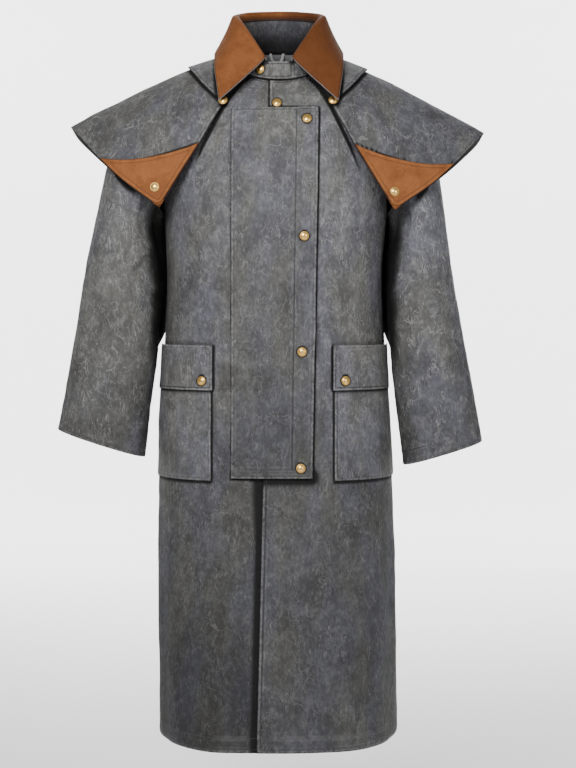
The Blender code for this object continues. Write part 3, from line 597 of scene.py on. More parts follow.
BODY_CREASES = (
    # the front: long soft rolls below the pockets, then creases at the waist and the chest
    (0, 0.013, 0.0052, ((-0.118, -0.800), (-0.112, -0.95), (-0.104, -1.10), (-0.100, -1.19))),
    (0, 0.016, -0.0035, ((-0.150, -0.770), (-0.146, -0.95), (-0.142, -1.19))),
    (0, 0.012, 0.0026, ((-0.065, -0.760), (-0.070, -0.93), (-0.066, -1.12))),
    (0, 0.016, 0.0040, ((0.086, -0.760), (0.094, -0.94), (0.100, -1.19))),
    (0, 0.014, -0.0032, ((0.052, -0.750), (0.058, -0.94), (0.060, -1.19))),
    (0, 0.016, 0.0036, ((0.168, -0.760), (0.176, -0.96), (0.182, -1.19))),
    (0, 0.010, 0.0030, ((-0.176, -0.470), (-0.140, -0.447), (-0.095, -0.452))),
    (0, 0.009, -0.0022, ((-0.180, -0.440), (-0.140, -0.428), (-0.100, -0.436))),
    (0, 0.010, 0.0026, ((0.175, -0.456), (0.140, -0.442), (0.105, -0.450))),
    (0, 0.012, -0.0026, ((0.150, -0.300), (0.118, -0.360), (0.104, -0.430))),
    (0, 0.012, -0.0028, ((-0.168, -0.285), (-0.130, -0.345), (-0.104, -0.420))),
    (0, 0.014, 0.0030, ((-0.150, -0.245), (-0.128, -0.330), (-0.118, -0.420))),
    (0, 0.012, 0.0026, ((0.128, -0.240), (0.116, -0.330), (0.110, -0.430))),
    # the back, as plain long rolls from the shoulder blades down
    (180, 0.024, 0.0060, ((-0.110, -0.300), (-0.128, -0.70), (-0.150, -1.18))),
    (180, 0.022, -0.0050, ((-0.060, -0.360), (-0.066, -0.75), (-0.072, -1.18))),
    (180, 0.026, 0.0060, ((0.000, -0.330), (0.006, -0.75), (0.008, -1.18))),
    (180, 0.022, -0.0050, ((0.064, -0.360), (0.072, -0.75), (0.080, -1.18))),
    (180, 0.024, 0.0060, ((0.120, -0.300), (0.140, -0.70), (0.168, -1.18))),
    (180, 0.014, -0.0040, ((-0.190, -0.290), (-0.130, -0.350), (-0.060, -0.372))),
    (180, 0.014, -0.0040, ((0.190, -0.290), (0.130, -0.346), (0.064, -0.370))),
    (180, 0.013, 0.0032, ((-0.170, -0.455), (-0.080, -0.480), (0.020, -0.470))),
    (180, 0.013, 0.0030, ((0.175, -0.465), (0.110, -0.492), (0.030, -0.500))),
    *SIDE_CREASES,
    *mirrored(SIDE_CREASES),
)

# behind one sleeve
SLEEVE_BACK_CREASES = (
    (180, 0.016, 0.0050, ((0.215, -0.330), (0.270, -0.400), (0.325, -0.420))),
    (180, 0.015, -0.0045, ((0.220, -0.390), (0.275, -0.450), (0.335, -0.470))),
    (180, 0.016, 0.0042, ((0.235, -0.460), (0.285, -0.520), (0.345, -0.530))),
)

SLEEVE_CREASES = (
    # right sleeve, at the picture's left
    (0, 0.012, -0.0045, ((-0.205, -0.330), (-0.245, -0.372), (-0.285, -0.380))),
    (0, 0.012, 0.0042, ((-0.210, -0.300), (-0.250, -0.345), (-0.300, -0.355))),
    (0, 0.012, 0.0040, ((-0.225, -0.410), (-0.265, -0.425), (-0.318, -0.400))),
    (0, 0.013, -0.0040, ((-0.222, -0.450), (-0.270, -0.470), (-0.330, -0.440))),
    (0, 0.014, 0.0036, ((-0.245, -0.270), (-0.262, -0.420), (-0.285, -0.570))),
    (0, 0.012, 0.0030, ((-0.320, -0.520), (-0.285, -0.560), (-0.250, -0.575))),
    # left sleeve
    (0, 0.012, 0.0060, ((0.196, -0.215), (0.205, -0.262), (0.232, -0.320))),
    (0, 0.011, -0.0050, ((0.214, -0.215), (0.222, -0.262), (0.255, -0.330))),
    (0, 0.012, -0.0042, ((0.212, -0.360), (0.252, -0.392), (0.300, -0.385))),
    (0, 0.012, 0.0040, ((0.214, -0.395), (0.262, -0.425), (0.322, -0.415))),
    (0, 0.013, -0.0038, ((0.228, -0.470), (0.280, -0.492), (0.338, -0.468))),
    (0, 0.014, 0.0036, ((0.246, -0.280), (0.272, -0.430), (0.300, -0.590))),
    *SLEEVE_BACK_CREASES,
    *mirrored(SLEEVE_BACK_CREASES),
)

# the storm flap's swells between its snaps: height in the frame, reach and rise
FLAP_SWELLS = (
    (-0.203, 0.055, 0.0020),
    (-0.404, 0.055, 0.0024),
    (-0.466, 0.030, 0.0085),
    (-0.605, 0.060, 0.0030),
)
# the stitched line beside its snaps: x and z at the top, then at the low end
STRIP_LINE = (0.0335, -0.085, 0.0255, -0.705)


def line_at(z, x_top, z_top, x_low, z_low):
    """x at these heights on a straight line down the front."""
    return x_top + (z - z_top) * (x_low - x_top) / (z_low - z_top)


def body_relief(points, normals):
    fade = smooth(-points[:, 2], 0.10, 0.30)
    # the rolls stand higher behind, where nothing is sewn on them
    stronger = 1 + 0.5 * smooth(-points[:, 2], 0.40, 0.55) * smooth(points[:, 1], -0.02, 0.06)
    return stronger * crease_height(points, normals, BODY_CREASES) + fade * (
        0.0009 * ripples(points, 0.030, 1.0) + 0.0006 * ripples(points, 0.012, 2.0)
    )


def sleeve_relief(points, normals):
    fade = 0.35 + 0.65 * smooth(-points[:, 2], 0.22, 0.34)
    stronger = 1 + 0.4 * smooth(np.sign(points[:, 0]) * normals[:, 0], -0.2, 0.5)
    return fade * (
        stronger * crease_height(points, normals, SLEEVE_CREASES)
        + 0.0010 * ripples(points, 0.022, 3.0)
        + 0.0007 * ripples(points, 0.010, 4.0)
    )


def cape_relief(points, normals):
    out = np.hypot(points[:, 0], points[:, 1])
    return smooth(out, 0.10, 0.22) * (
        0.0011 * ripples(points, 0.026, 5.0) + 0.0006 * ripples(points, 0.011, 6.0)
    )


def flap_relief(points, normals):
    """The storm flap goes with the front, stands up between its snaps and has a raised snap strip."""
    side = smooth(points[:, 0], 0.030, 0.066)
    between = sum(rise * np.exp(-(((points[:, 2] - z) / reach) ** 2)) for z, reach, rise in FLAP_SWELLS)
    past = points[:, 0] - line_at(points[:, 2], *STRIP_LINE)
    strip = 0.0012 * smooth(past, 0.0, 0.003) - 0.0010 * np.exp(-((past / 0.0022) ** 2))
    return body_relief(points, normals) + side * between + strip + 0.0006


def collar_relief(points, normals):
    """The collar is stiff, so it is hardly uneven."""
    return 0.0004 * ripples(points, 0.016, 7.0)


# ---------------------------------------------------------------- shells


def deselect():
    if bpy.context.mode != "OBJECT":
        bpy.ops.object.mode_set(mode="OBJECT")
    bpy.ops.object.select_all(action="DESELECT")


def pick(obj):
    deselect()
    obj.select_set(True)
    bpy.context.view_layer.objects.active = obj


def in_scene(name, data):
    """A new object with this data, in the scene."""
    made = bpy.data.objects.new(name, data)
    bpy.context.scene.collection.objects.link(made)
    return made


def search_tree(points):
    """A tree that finds the nearest of these points and its number."""
    tree = KDTree(len(points))
    for k, p in enumerate(points):
        tree.insert(Vector(p), k)
    tree.balance()
    return tree


def copy_of(node, name):
    """A new object with its own copy of a CAD node's mesh, its doubles merged."""
    made = in_scene(name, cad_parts[node].data.copy())
    made.data.name = name
    made.data.materials.clear()
    pick(made)
    bpy.ops.object.mode_set(mode="EDIT")
    bpy.ops.mesh.select_all(action="SELECT")
    bpy.ops.mesh.remove_doubles(threshold=0.00002)
    square = math.radians(60)
    bpy.ops.mesh.tris_convert_to_quads(face_threshold=square, shape_threshold=square)
    bpy.ops.object.mode_set(mode="OBJECT")
    return made


def crease_rims(obj):
    """Marks the edges where the cloth's face turns into its cut edge, so that they stay sharp."""
    pick(obj)
    bpy.ops.object.mode_set(mode="EDIT")
    bpy.ops.mesh.select_mode(type="EDGE")
    bpy.ops.mesh.select_all(action="DESELECT")
    bpy.ops.mesh.edges_select_sharp(sharpness=RIM_ANGLE)
    bpy.ops.transform.edge_crease(value=1.0)
    bpy.ops.mesh.select_mode(type="VERT")
    bpy.ops.object.mode_set(mode="OBJECT")


def subdivide(obj, levels):
    pick(obj)
    bpy.ops.object.modifier_add(type="SUBSURF")
    modifier = obj.modifiers[-1]
    modifier.levels = modifier.render_levels = levels
    modifier.boundary_smooth = "PRESERVE_CORNERS"
    bpy.ops.object.modifier_apply(modifier=modifier.name)


class Shell:
    """The outer face, inner face and rim of a cloth piece, read from its mesh."""

    def __init__(self, obj):
        self.obj = obj
        mesh = bmesh.new()
        mesh.from_mesh(obj.data)
        mesh.faces.ensure_lookup_table()
        mesh.verts.ensure_lookup_table()
        self.points = np.array([v.co[:] for v in mesh.verts])
        group = np.full(len(mesh.faces), -1)
        count = 0
        for start in mesh.faces:
            if group[start.index] >= 0:
                continue
            group[start.index], wave = count, [start]
            while wave:
                face = wave.pop()
                for e in face.edges:
                    if len(e.link_faces) == 2 and e.calc_face_angle(0) < FACE_ANGLE:
                        for other in e.link_faces:
                            if group[other.index] < 0:
                                group[other.index] = count
                                wave.append(other)
            count += 1
        area = np.array([f.calc_area() for f in mesh.faces])
        centre = np.array([f.calc_center_median()[:] for f in mesh.faces])
        normal = np.array([f.normal[:] for f in mesh.faces])
        sizes = [area[group == g].sum() for g in range(count)]
        big = sorted(range(count), key=lambda g: -sizes[g])[:2]
        middle = self.middle(centre)
        outwards = area[:, None] * normal * (centre - middle)
        away = [float(outwards[group == g].sum()) for g in big]
        outer = big[0] if away[0] > away[1] else big[1]
        inner = big[1] if outer == big[0] else big[0]
        self.outer_faces = np.flatnonzero(group == outer)
        self.inner_faces = np.flatnonzero(group == inner)
        self.outer_area = sizes[outer]
        on_outer = {v.index for i in self.outer_faces for v in mesh.faces[i].verts}
        self.outer = np.array(sorted(on_outer))
        self.rims = {}
        for key, g in (("outer", outer), ("inner", inner)):
            self.rims[key] = [
                (e.verts[0].index, e.verts[1].index)
                for e in mesh.edges
                if len(e.link_faces) == 2 and sum(group[f.index] == g for f in e.link_faces) == 1
            ]
        normals = np.zeros_like(self.points)
        for i in self.outer_faces:
            for v in mesh.faces[i].verts:
                normals[v.index] += normal[i] * area[i]
        tree = search_tree(self.points[self.outer])
        self.nearest = np.arange(len(self.points))
        for i in range(len(self.points)):
            if i not in on_outer:
                self.nearest[i] = self.outer[tree.find(Vector(self.points[i]))[1]]
        self.normals = normals[self.nearest]
        self.normals /= np.maximum(np.linalg.norm(self.normals, axis=1), 1e-12)[:, None]
        mesh.free()

    def middle(self, centre):
        """The place that the outer face looks away from, for each face."""
        name = self.obj.name
        middle = np.zeros_like(centre)
        if name.startswith("sleeve"):
            side = 1 if "left" in name else -1
            # the sleeve's axis goes outwards and forwards on its way from shoulder to cuff
            down = np.clip((-centre[:, 2] - 0.06) / 0.56, 0, 1)
            middle[:, 0] = side * (0.205 + 0.09 * down)
            middle[:, 1] = 0.02 - 0.03 * down
            middle[:, 2] = centre[:, 2]
        else:
            middle[:, 2] = np.minimum(centre[:, 2], -0.25) if name.startswith("cape") else centre[:, 2]
        return middle

    def raise_by(self, field):
        """Moves both faces together, out from the coat, by the field's height."""
        self.moved = self.normals * field(self.points[self.nearest], self.normals)[:, None]
        self.points = self.points + self.moved
        self.obj.data.vertices.foreach_set("co", self.points.astype(np.float32).ravel())
        self.obj.data.update()

    def rim_samples(self, edges, where=None):
        """Places a millimetre or two apart along these rim edges, or those whose middle passes the test."""
        samples = []
        for a, b in edges:
            p, q = self.points[a], self.points[b]
            if where is not None and not where((p + q) / 2):
                continue
            steps = max(1, int(np.linalg.norm(q - p) / 0.0012))
            samples += [p + (q - p) * (k + 0.5) / steps for k in range(steps)]
        return samples

    def gap_to(self, edges, where=None):
        """Each point's distance to these rim edges."""
        tree = search_tree(self.rim_samples(edges, where))
        return np.array([tree.find(Vector(p))[2] for p in self.points])

    def write(self, name, values):
        layer = self.obj.data.attributes.new(name, "FLOAT", "POINT")
        layer.data.foreach_set("value", np.asarray(values, np.float32))

    def triangles(self):
        """The outer face's triangles."""
        found = []
        for i in self.outer_faces:
            corners = self.obj.data.polygons[int(i)].vertices
            found += [(corners[0], corners[k], corners[k + 1]) for k in range(1, len(corners) - 1)]
        return np.array(found)


SHELLS = {}


def cloth(node, field, levels, outside, inside="inside", rows=(), shape=None):
    """A cloth piece on its solid's form, with its creases, its rim and row distances and its materials.

    field gives the creases' height, and shape bends the shell before that. rows are functions of the
    shell, each giving (field on its points, level, test of a place or None).
    """
    made = copy_of(node, f"{node}_cloth")
    crease_rims(made)
    subdivide(made, levels)
    shell = Shell(made)
    if shape:
        shape(shell)
    shell.raise_by(field)
    shell.write("rim", shell.gap_to(shell.rims["outer"] + shell.rims["inner"]))
    shell.rows = [row(shell) for row in rows]
    nearest = np.full(len(shell.points), FAR)
    for values, level, where in shell.rows:
        gap = np.abs(values - level)
        if where is not None:
            gap = np.where([where(p) for p in shell.points], gap, FAR)
        nearest = np.minimum(nearest, gap)
    shell.write("row", nearest)
    made.data.materials.append(material(outside))
    if inside != outside:
        made.data.materials.append(material(inside))
        for i in shell.inner_faces:
            made.data.polygons[int(i)].material_index = 1
    pick(made)
    bpy.ops.object.shade_smooth_by_angle(angle=SMOOTH_ANGLE)
    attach(made, "root")
    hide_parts(node)
    SHELLS[node] = shell
    print(f"{made.name}: {len(made.data.polygons)} faces, outer area {shell.outer_area:.4f}")


def edge_row(inset):
    """A row that goes round the whole piece, this far in."""
    return lambda shell: (shell.gap_to(shell.rims["outer"]), inset, None)


def low_edge_row(inset, reach):
    """A row this far up from the piece's low edge, which lies within reach of its lowest point."""

    def row(shell):
        floor = shell.points[shell.outer, 2].min() + reach
        return shell.gap_to(shell.rims["outer"], lambda p: p[2] < floor), inset, None

    return row


def line_row(x_top, z_top, x_low, z_low):
    """A straight row down the front between two heights."""

    def row(shell):
        at = line_at(shell.points[:, 2], x_top, z_top, x_low, z_low)
        return shell.points[:, 0] - at, 0.0, lambda p: z_low < p[2] < z_top

    return row


def close_to_body(shell):
    """Brings the rear of a sleeve's inner side up to the coat, as a hanging arm does.

    The front of that side, below the armhole, is drawn away from the coat instead.
    """
    search, gap_left = 0.05, 0.0015
    side = 1 if shell.points[:, 0].mean() > 0 else -1
    polygons, points = [], []
    for node in ("back", "front_left", "front_right"):
        body = SHELLS[node]
        polygons += [tuple(int(k) + len(points) for k in t) for t in body.triangles()]
        points += [Vector(p) for p in body.points]
    tree = BVHTree.FromPolygons(points, polygons)
    move = np.zeros(len(shell.points))
    for i in shell.outer:
        p, n = shell.points[i], shell.normals[i]
        weight = (
            smooth(p[1], -0.012, 0.022)
            * (1 - smooth(p[1], 0.060, 0.085))
            * smooth(-n[0] * side, 0.1, 0.6)
            * smooth(-p[2], 0.19, 0.23)
            * (1 - smooth(-p[2], 0.46, 0.54))
        )
        if weight > 0.001:
            hit = tree.ray_cast(Vector(p), Vector((-side, 0, 0)), search)[0]
            if hit:
                move[i] = max(0.0, (Vector(p) - hit).length - gap_left) * weight
    shell.points[:, 0] -= side * move[shell.nearest]
    p, n = shell.points[shell.nearest], shell.normals
    z = -p[:, 2]
    back = (
        (0.004 + 0.011 * (1 - smooth(z, 0.26, 0.38)))
        * smooth(-n[:, 0] * side, 0.15, 0.8)
        * (1 - smooth(p[:, 1], -0.03, 0.0))
        * smooth(z, 0.19, 0.235)
        * (1 - smooth(z, 0.34, 0.50))
    )
    shell.points[:, 0] += side * back


# ---------------------------------------------------------------- stitches


def contour(points, triangles, field, level):
    """Lines of points on the mesh along which the field has this level."""
    above = field[triangles] > level
    count = above.sum(axis=1)
    links = {}
    for tri, flags in zip(triangles[(count == 1) | (count == 2)], above[(count == 1) | (count == 2)]):
        keys = []
        for k in range(3):
            a, b = int(tri[k]), int(tri[(k + 1) % 3])
            if flags[k] != flags[(k + 1) % 3]:
                keys.append((min(a, b), max(a, b)))
        links.setdefault(keys[0], []).append(keys[1])
        links.setdefault(keys[1], []).append(keys[0])
    place = {}
    for a, b in links:
        t = (level - field[a]) / (field[b] - field[a])
        place[a, b] = (points[a] * (1 - t) + points[b] * t, (a, b, t))
    lines, seen = [], set()
    for start in sorted(links, key=lambda k: (len(links[k]) != 1, k)):
        if start in seen:
            continue
        line, here = [start], start
        seen.add(start)
        while True:
            onward = [k for k in links[here] if k not in seen]
            if not onward:
                break
            here = onward[0]
            seen.add(here)
            line.append(here)
        if len(line) > 2 and line[0] in links[line[-1]]:
            line.append(line[0])
        lines.append([place[k] for k in line])
    return lines


def read_along(at, far, values):
    """Values that are known this far along a line, read at other distances along it."""
    return np.stack([np.interp(at, far, values[:, k]) for k in range(3)], axis=1)


STITCH_LIFT = 0.0001  # how far a stitch's axis is above the cloth
STITCH = []  # the points and faces of one stitch, made when the first row is


def stitch_shape():
    """One stitch along +X, low and round, with its ends going down into the cloth."""
    sizes = look("trim")
    deselect()
    bpy.ops.mesh.primitive_cylinder_add(
        vertices=5,
        radius=sizes.width / 2,
        depth=sizes.stitch * 0.5,
        end_fill_type="NGON",
        rotation=(0, math.pi / 2, 0),
    )
    one = bpy.context.object
    bpy.ops.object.transform_apply(location=True, rotation=True, scale=True)
    bpy.ops.object.mode_set(mode="EDIT")
    for side in (-1, 1):
        bpy.ops.mesh.select_mode(type="FACE")
        bpy.ops.mesh.select_all(action="DESELECT")
        mesh = bmesh.from_edit_mesh(one.data)
        for f in mesh.faces:
            f.select_set(f.normal.x * side > 0.9)
        bmesh.update_edit_mesh(one.data)
        bpy.ops.mesh.extrude_region_move(
            TRANSFORM_OT_translate={"value": (side * sizes.stitch * 0.25, 0, -sizes.width * 0.55)}
        )
        bpy.ops.transform.resize(value=(0.45, 0.45, 0.45))
    bpy.ops.mesh.select_all(action="SELECT")
    bpy.ops.mesh.quads_convert_to_tris()
    bpy.ops.object.mode_set(mode="OBJECT")
    points = np.array([v.co[:] for v in one.data.vertices])
    faces = np.array([p.vertices[:] for p in one.data.polygons])
    data = one.data
    bpy.data.objects.remove(one)
    bpy.data.meshes.remove(data)
    return points, faces


def stitches(name, node, thread):
    """Stitches along a cloth piece's rows."""
    shell, sizes = SHELLS[node], look("trim")
    triangles = shell.triangles()
    if not STITCH:
        STITCH.append(stitch_shape())
    shape_points, shape_faces = STITCH[0]
    all_points, all_faces, total = [], [], 0
    for field, level, where in shell.rows:
        for line in contour(shell.points, triangles, field, level):
            places = np.array([p for p, _ in line])
            normals = np.array([shell.normals[a] * (1 - t) + shell.normals[b] * t for _, (a, b, t) in line])
            steps = np.linalg.norm(np.diff(places, axis=0), axis=1)
            far = np.concatenate([[0], np.cumsum(steps)])
            if far[-1] < 3 * sizes.pitch:
                continue
            at = np.arange(sizes.pitch / 2, far[-1] - sizes.pitch / 2, sizes.pitch)
            spot = read_along(at, far, places)
            up = read_along(at, far, normals)
            up /= np.linalg.norm(up, axis=1)[:, None]
            on = read_along(at + MM, far, places) - read_along(at - MM, far, places)
            on -= up * (on * up).sum(axis=1)[:, None]
            on /= np.maximum(np.linalg.norm(on, axis=1), 1e-9)[:, None]
            across = np.cross(up, on)
            for p, x, y, z in zip(spot, on, across, up):
                if where is not None and not where(p):
                    continue
                all_points.append(p + z * STITCH_LIFT + shape_points @ np.array([x, y, z]))
                all_faces.append(shape_faces + total)
                total += len(shape_points)
    data = bpy.data.meshes.new(name)
    data.from_pydata(np.concatenate(all_points).tolist(), [], np.concatenate(all_faces).tolist())
    made = in_scene(name, data)
    data.materials.append(material(thread))
    data.polygons.foreach_set("use_smooth", [True] * len(data.polygons))
    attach(made, "root")
    print(f"{name}: {len(all_points)} stitches, {len(data.polygons)} faces")
    return made


# ---------------------------------------------------------------- operators


class BodyCloth(bpy.types.Operator):
    """Make the back and both fronts"""

    bl_idname = "coat.body_cloth"
    bl_label = "Back and fronts"

    def execute(self, context):
        rows = (edge_row(0.006), low_edge_row(0.025, 0.02))
        for node, levels in (("back", 2), ("front_left", 3), ("front_right", 3)):
            cloth(node, body_relief, levels, "canvas", rows=rows)
        return {"FINISHED"}


class StormFlap(bpy.types.Operator):
    """Make the storm flap over the front"""

    bl_idname = "coat.storm_flap"
    bl_label = "Storm flap"

    def execute(self, context):
        rows = (edge_row(0.0045), low_edge_row(0.016, 0.01), line_row(*STRIP_LINE))
        cloth("storm_flap", flap_relief, 3, "canvas", rows=rows)
        return {"FINISHED"}


class Sleeves(bpy.types.Operator):
    """Make both sleeves"""

    bl_idname = "coat.sleeves"
    bl_label = "Sleeves"

    def execute(self, context):
        for side in ("left", "right"):
            rows = (edge_row(0.0055), low_edge_row(0.024, 0.05))
            cloth(f"sleeve_{side}", sleeve_relief, 2, "canvas", rows=rows, shape=close_to_body)
        return {"FINISHED"}


class Pockets(bpy.types.Operator):
    """Make the patch pockets and their flaps"""

    bl_idname = "coat.pockets"
    bl_label = "Pockets and flaps"

    def execute(self, context):
        for side in ("left", "right"):
            cloth(f"pocket_{side}", body_relief, 3, "canvas", rows=(edge_row(0.0045),))
            cloth(f"pocket_flap_{side}", body_relief, 3, "canvas", rows=(edge_row(0.0045),))
        return {"FINISHED"}


class Cape(bpy.types.Operator):
    """Make the cape and the round yoke on it"""

    bl_idname = "coat.cape"
    bl_label = "Cape and yoke"

    def execute(self, context):
        cloth("cape", cape_relief, 2, "canvas", rows=(edge_row(0.006),))
        cloth("cape_yoke", cape_relief, 2, "canvas", rows=(edge_row(0.005),))
        return {"FINISHED"}


class CapeCorners(bpy.types.Operator):
    """Make the tan corners of the cape"""

    bl_idname = "coat.cape_corners"
    bl_label = "Cape corners"

    def execute(self, context):
        for side in ("left", "right"):
            cloth(f"cape_patch_{side}", cape_relief, 3, "leather", rows=(edge_row(0.0065),))
            self.turn_edge(f"cape_patch_{side}")
        return {"FINISHED"}

    def turn_edge(self, patch):
        """The tan turns round the cape's edge, so the cape is tan there too."""
        rim_width, touching = 0.0045, 0.0042
        tip_height, tip_width = 0.006, 0.02
        cape, tree = SHELLS["cape"], search_tree(SHELLS[patch].points)
        data = cape.obj.data
        slot = data.materials.find("coat_leather")
        if slot < 0:
            data.materials.append(material("leather"))
            slot = len(data.materials) - 1
        far = cape.gap_to(cape.rims["outer"])
        tip = SHELLS[patch].points[:, 2].min() + tip_height
        for face in data.polygons:
            near = tree.find(face.center)[2]
            at_edge = max(far[k] for k in face.vertices) < rim_width and near < touching
            if at_edge or (face.center.z < tip and near < tip_width):
                face.material_index = slot


class Collar(bpy.types.Operator):
    """Make the stand and the folded fall of the collar"""

    bl_idname = "coat.collar"
    bl_label = "Collar"

    def execute(self, context):
        cloth("collar_stand", collar_relief, 2, "canvas", "neck", rows=(edge_row(0.004),))
        cloth("collar_fall", collar_relief, 2, "collar", "collar", rows=(edge_row(0.0065),))
        self.line_fall(SHELLS["collar_fall"])
        return {"FINISHED"}

    def line_fall(self, shell):
        """Notes where the fall's inner side is, from 0.5 where the canvas inside the fold starts to 1 deep down,
        for its painted shade.
        """
        x = shell.points[:, 0] - 0.003  # from the middle of the neck
        angle = np.degrees(np.arctan2(x, -shell.points[:, 1]))
        fold = np.zeros(len(angle))
        for a in np.arange(-180, 180, 3):
            aside = np.abs((angle - a + 180) % 360 - 180)
            if (aside < 4).any():
                fold[aside < 1.6] = shell.points[aside < 4, 2].max()
        out = np.hypot(x, shell.points[:, 1])
        # how far out the fold is at the throat, the sides and the back
        ring = np.interp(np.abs(angle), [0, 90, 180], [0.0860, 0.0735, 0.0800])
        down = fold - shell.points[:, 2]
        inner = (out < ring + MM) & (down > 0.004)
        shell.write("inside_shade", np.where(inner, np.clip(0.5 + (down - 0.015) / 0.060, 0, 1), 0.0))


class HangLoop(bpy.types.Operator):
    """Make the tape loop inside the back of the neck"""

    bl_idname = "coat.hang_loop"
    bl_label = "Hanging loop"

    def execute(self, context):
        made = copy_of("hang_loop", "hang_loop_tape")
        crease_rims(made)
        subdivide(made, 2)
        made.data.materials.append(material("tape"))
        pick(made)
        bpy.ops.object.shade_smooth_by_angle(angle=SMOOTH_ANGLE)
        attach(made, "root")
        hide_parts("hang_loop")
        return {"FINISHED"}


SNAP_CARRIERS = {
    **{f"snap_flap_{k}": "storm_flap" for k in (1, 2, 3, 4)},
    "snap_placket": "front_left",
    "snap_throat": "collar_stand",
    **{f"snap_pocket_{side}": f"pocket_flap_{side}" for side in ("left", "right")},
    **{f"snap_cape_{side}": f"cape_patch_{side}" for side in ("left", "right")},
    **{f"snap_yoke_{side}": "cape_yoke" for side in ("left", "right")},
}
# from the middle outwards: radius and height in mm, and how dark the cap is drawn there: tarnish in its groove,
# painted shade on its outer slope and rim
SNAP_PROFILE = (
    (0.0, 3.05, 0.0),
    (1.5, 2.98, 0.0),
    (2.9, 2.74, 0.0),
    (4.1, 2.36, 0.0),
    (5.1, 1.86, 0.10),
    (5.8, 1.38, 0.30),
    (6.4, 1.04, 0.50),
    (6.8, 0.94, 0.62),
    (7.1, 1.00, 0.62),
    (7.5, 1.02, 0.70),
    (7.9, 0.90, 0.85),
    (8.15, 0.66, 0.8),
    (8.2, 0.35, 1.0),
    (7.9, 0.00, 1.0),
    (7.2, -0.30, 1.0),
)


SNAP_OUTWARD = 12  # so many of these rows lie side by side, before the edge turns in
SNAP_EDGE_SHADE = 0.9  # painted shade below the cap's edge
CAP_PROBES, PROBE_RADIUS = 8, 0.0065  # where the cloth is felt for under a cap
CAP_SUNK = 0.0001


class Snaps(bpy.types.Operator):
    """Make the brass snap caps"""

    bl_idname = "coat.snaps"
    bl_label = "Snaps"

    def execute(self, context):
        data = bpy.data.meshes.new("snap_profile")
        points = [(r * MM, 0, h * MM) for r, h, _ in SNAP_PROFILE]
        data.from_pydata(points, [(k, k + 1) for k in range(len(points) - 1)], [])
        one = in_scene("snap_profile", data)
        pick(one)
        bpy.ops.object.mode_set(mode="EDIT")
        bpy.ops.mesh.select_all(action="SELECT")
        bpy.ops.mesh.spin(steps=40, angle=2 * math.pi, center=(0, 0, 0), axis=(0, 0, 1))
        bpy.ops.mesh.select_all(action="SELECT")
        bpy.ops.mesh.remove_doubles(threshold=0.00001)
        bpy.ops.mesh.select_all(action="DESELECT")
        bpy.ops.mesh.select_non_manifold(extend=False)
        bpy.ops.mesh.edge_face_add()
        bpy.ops.mesh.select_all(action="SELECT")
        bpy.ops.mesh.normals_make_consistent(inside=False)
        bpy.ops.object.mode_set(mode="OBJECT")
        radii = [r * MM for r, _, _ in SNAP_PROFILE]
        shades = [s for _, _, s in SNAP_PROFILE]
        profile = radii[:SNAP_OUTWARD], shades[:SNAP_OUTWARD]
        cap_tarnish_and_shade = [
            float(np.interp(math.hypot(v.co.x, v.co.y), *profile)) if v.co.z > 0.5 * MM else SNAP_EDGE_SHADE
            for v in data.vertices
        ]
        layer = data.attributes.new("cap_tarnish_and_shade", "FLOAT", "POINT")
        layer.data.foreach_set("value", cap_tarnish_and_shade)
        data.materials.append(material("brass"))
        bpy.ops.object.shade_smooth_by_angle(angle=math.radians(60))
        for node, carrier in SNAP_CARRIERS.items():
            self.place(one, node, SHELLS[carrier])
        bpy.data.objects.remove(one)
        bpy.data.meshes.remove(data)
        return {"FINISHED"}

    def place(self, one, node, shell):
        """Sets a copy of the cap on the cloth where the solid cap is."""
        cad = np.array([v.co[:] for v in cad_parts[node].data.vertices])
        centre = cad.mean(axis=0)
        spread = np.linalg.svd(cad - centre, full_matrices=False)[2]
        axis = Vector(spread[2])
        under = int(np.argmin(np.linalg.norm(shell.points - centre, axis=1)))
        if axis.dot(Vector(shell.normals[under])) < 0:
            axis.negate()
        low = min(float((p - centre) @ np.array(axis)) for p in cad)
        tree = BVHTree.FromPolygons(
            [Vector(p) for p in shell.points], [tuple(int(k) for k in t) for t in shell.triangles()]
        )
        base, up = Vector(centre) + axis * low + Vector(shell.moved[under]), axis
        side = axis.orthogonal().normalized()
        hits = []
        for k in range(CAP_PROBES):
            turned = Matrix.Rotation(2 * math.pi * k / CAP_PROBES, 3, axis) @ side
            hit = tree.ray_cast(base + axis * 0.02 + turned * PROBE_RADIUS, -axis)[0]
            if hit:
                hits.append(hit)
        if len(hits) == CAP_PROBES:
            # the cap stands square on the plane through these places
            felt = np.array([h[:] for h in hits])
            up = Vector(np.linalg.svd(felt - felt.mean(axis=0))[2][2])
            if up.dot(axis) < 0:
                up.negate()
            base += up * (max((h - base).dot(up) for h in hits) - CAP_SUNK)
        made = in_scene(f"{node}_brass", one.data.copy())
        made.data.name = made.name
        made.data.transform(Matrix.Translation(base) @ up.to_track_quat("Z", "Y").to_matrix().to_4x4())
        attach(made, "root")
        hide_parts(node)


def front_covers(side):
    """The pieces that lie on both fronts, with the width of the painted shadow beside each."""
    pocket, flap = f"pocket_{side}", f"pocket_flap_{side}"
    return ("cape", 0.0060), (pocket, 0.0045), (flap, 0.0045), ("collar_stand", 0.004)
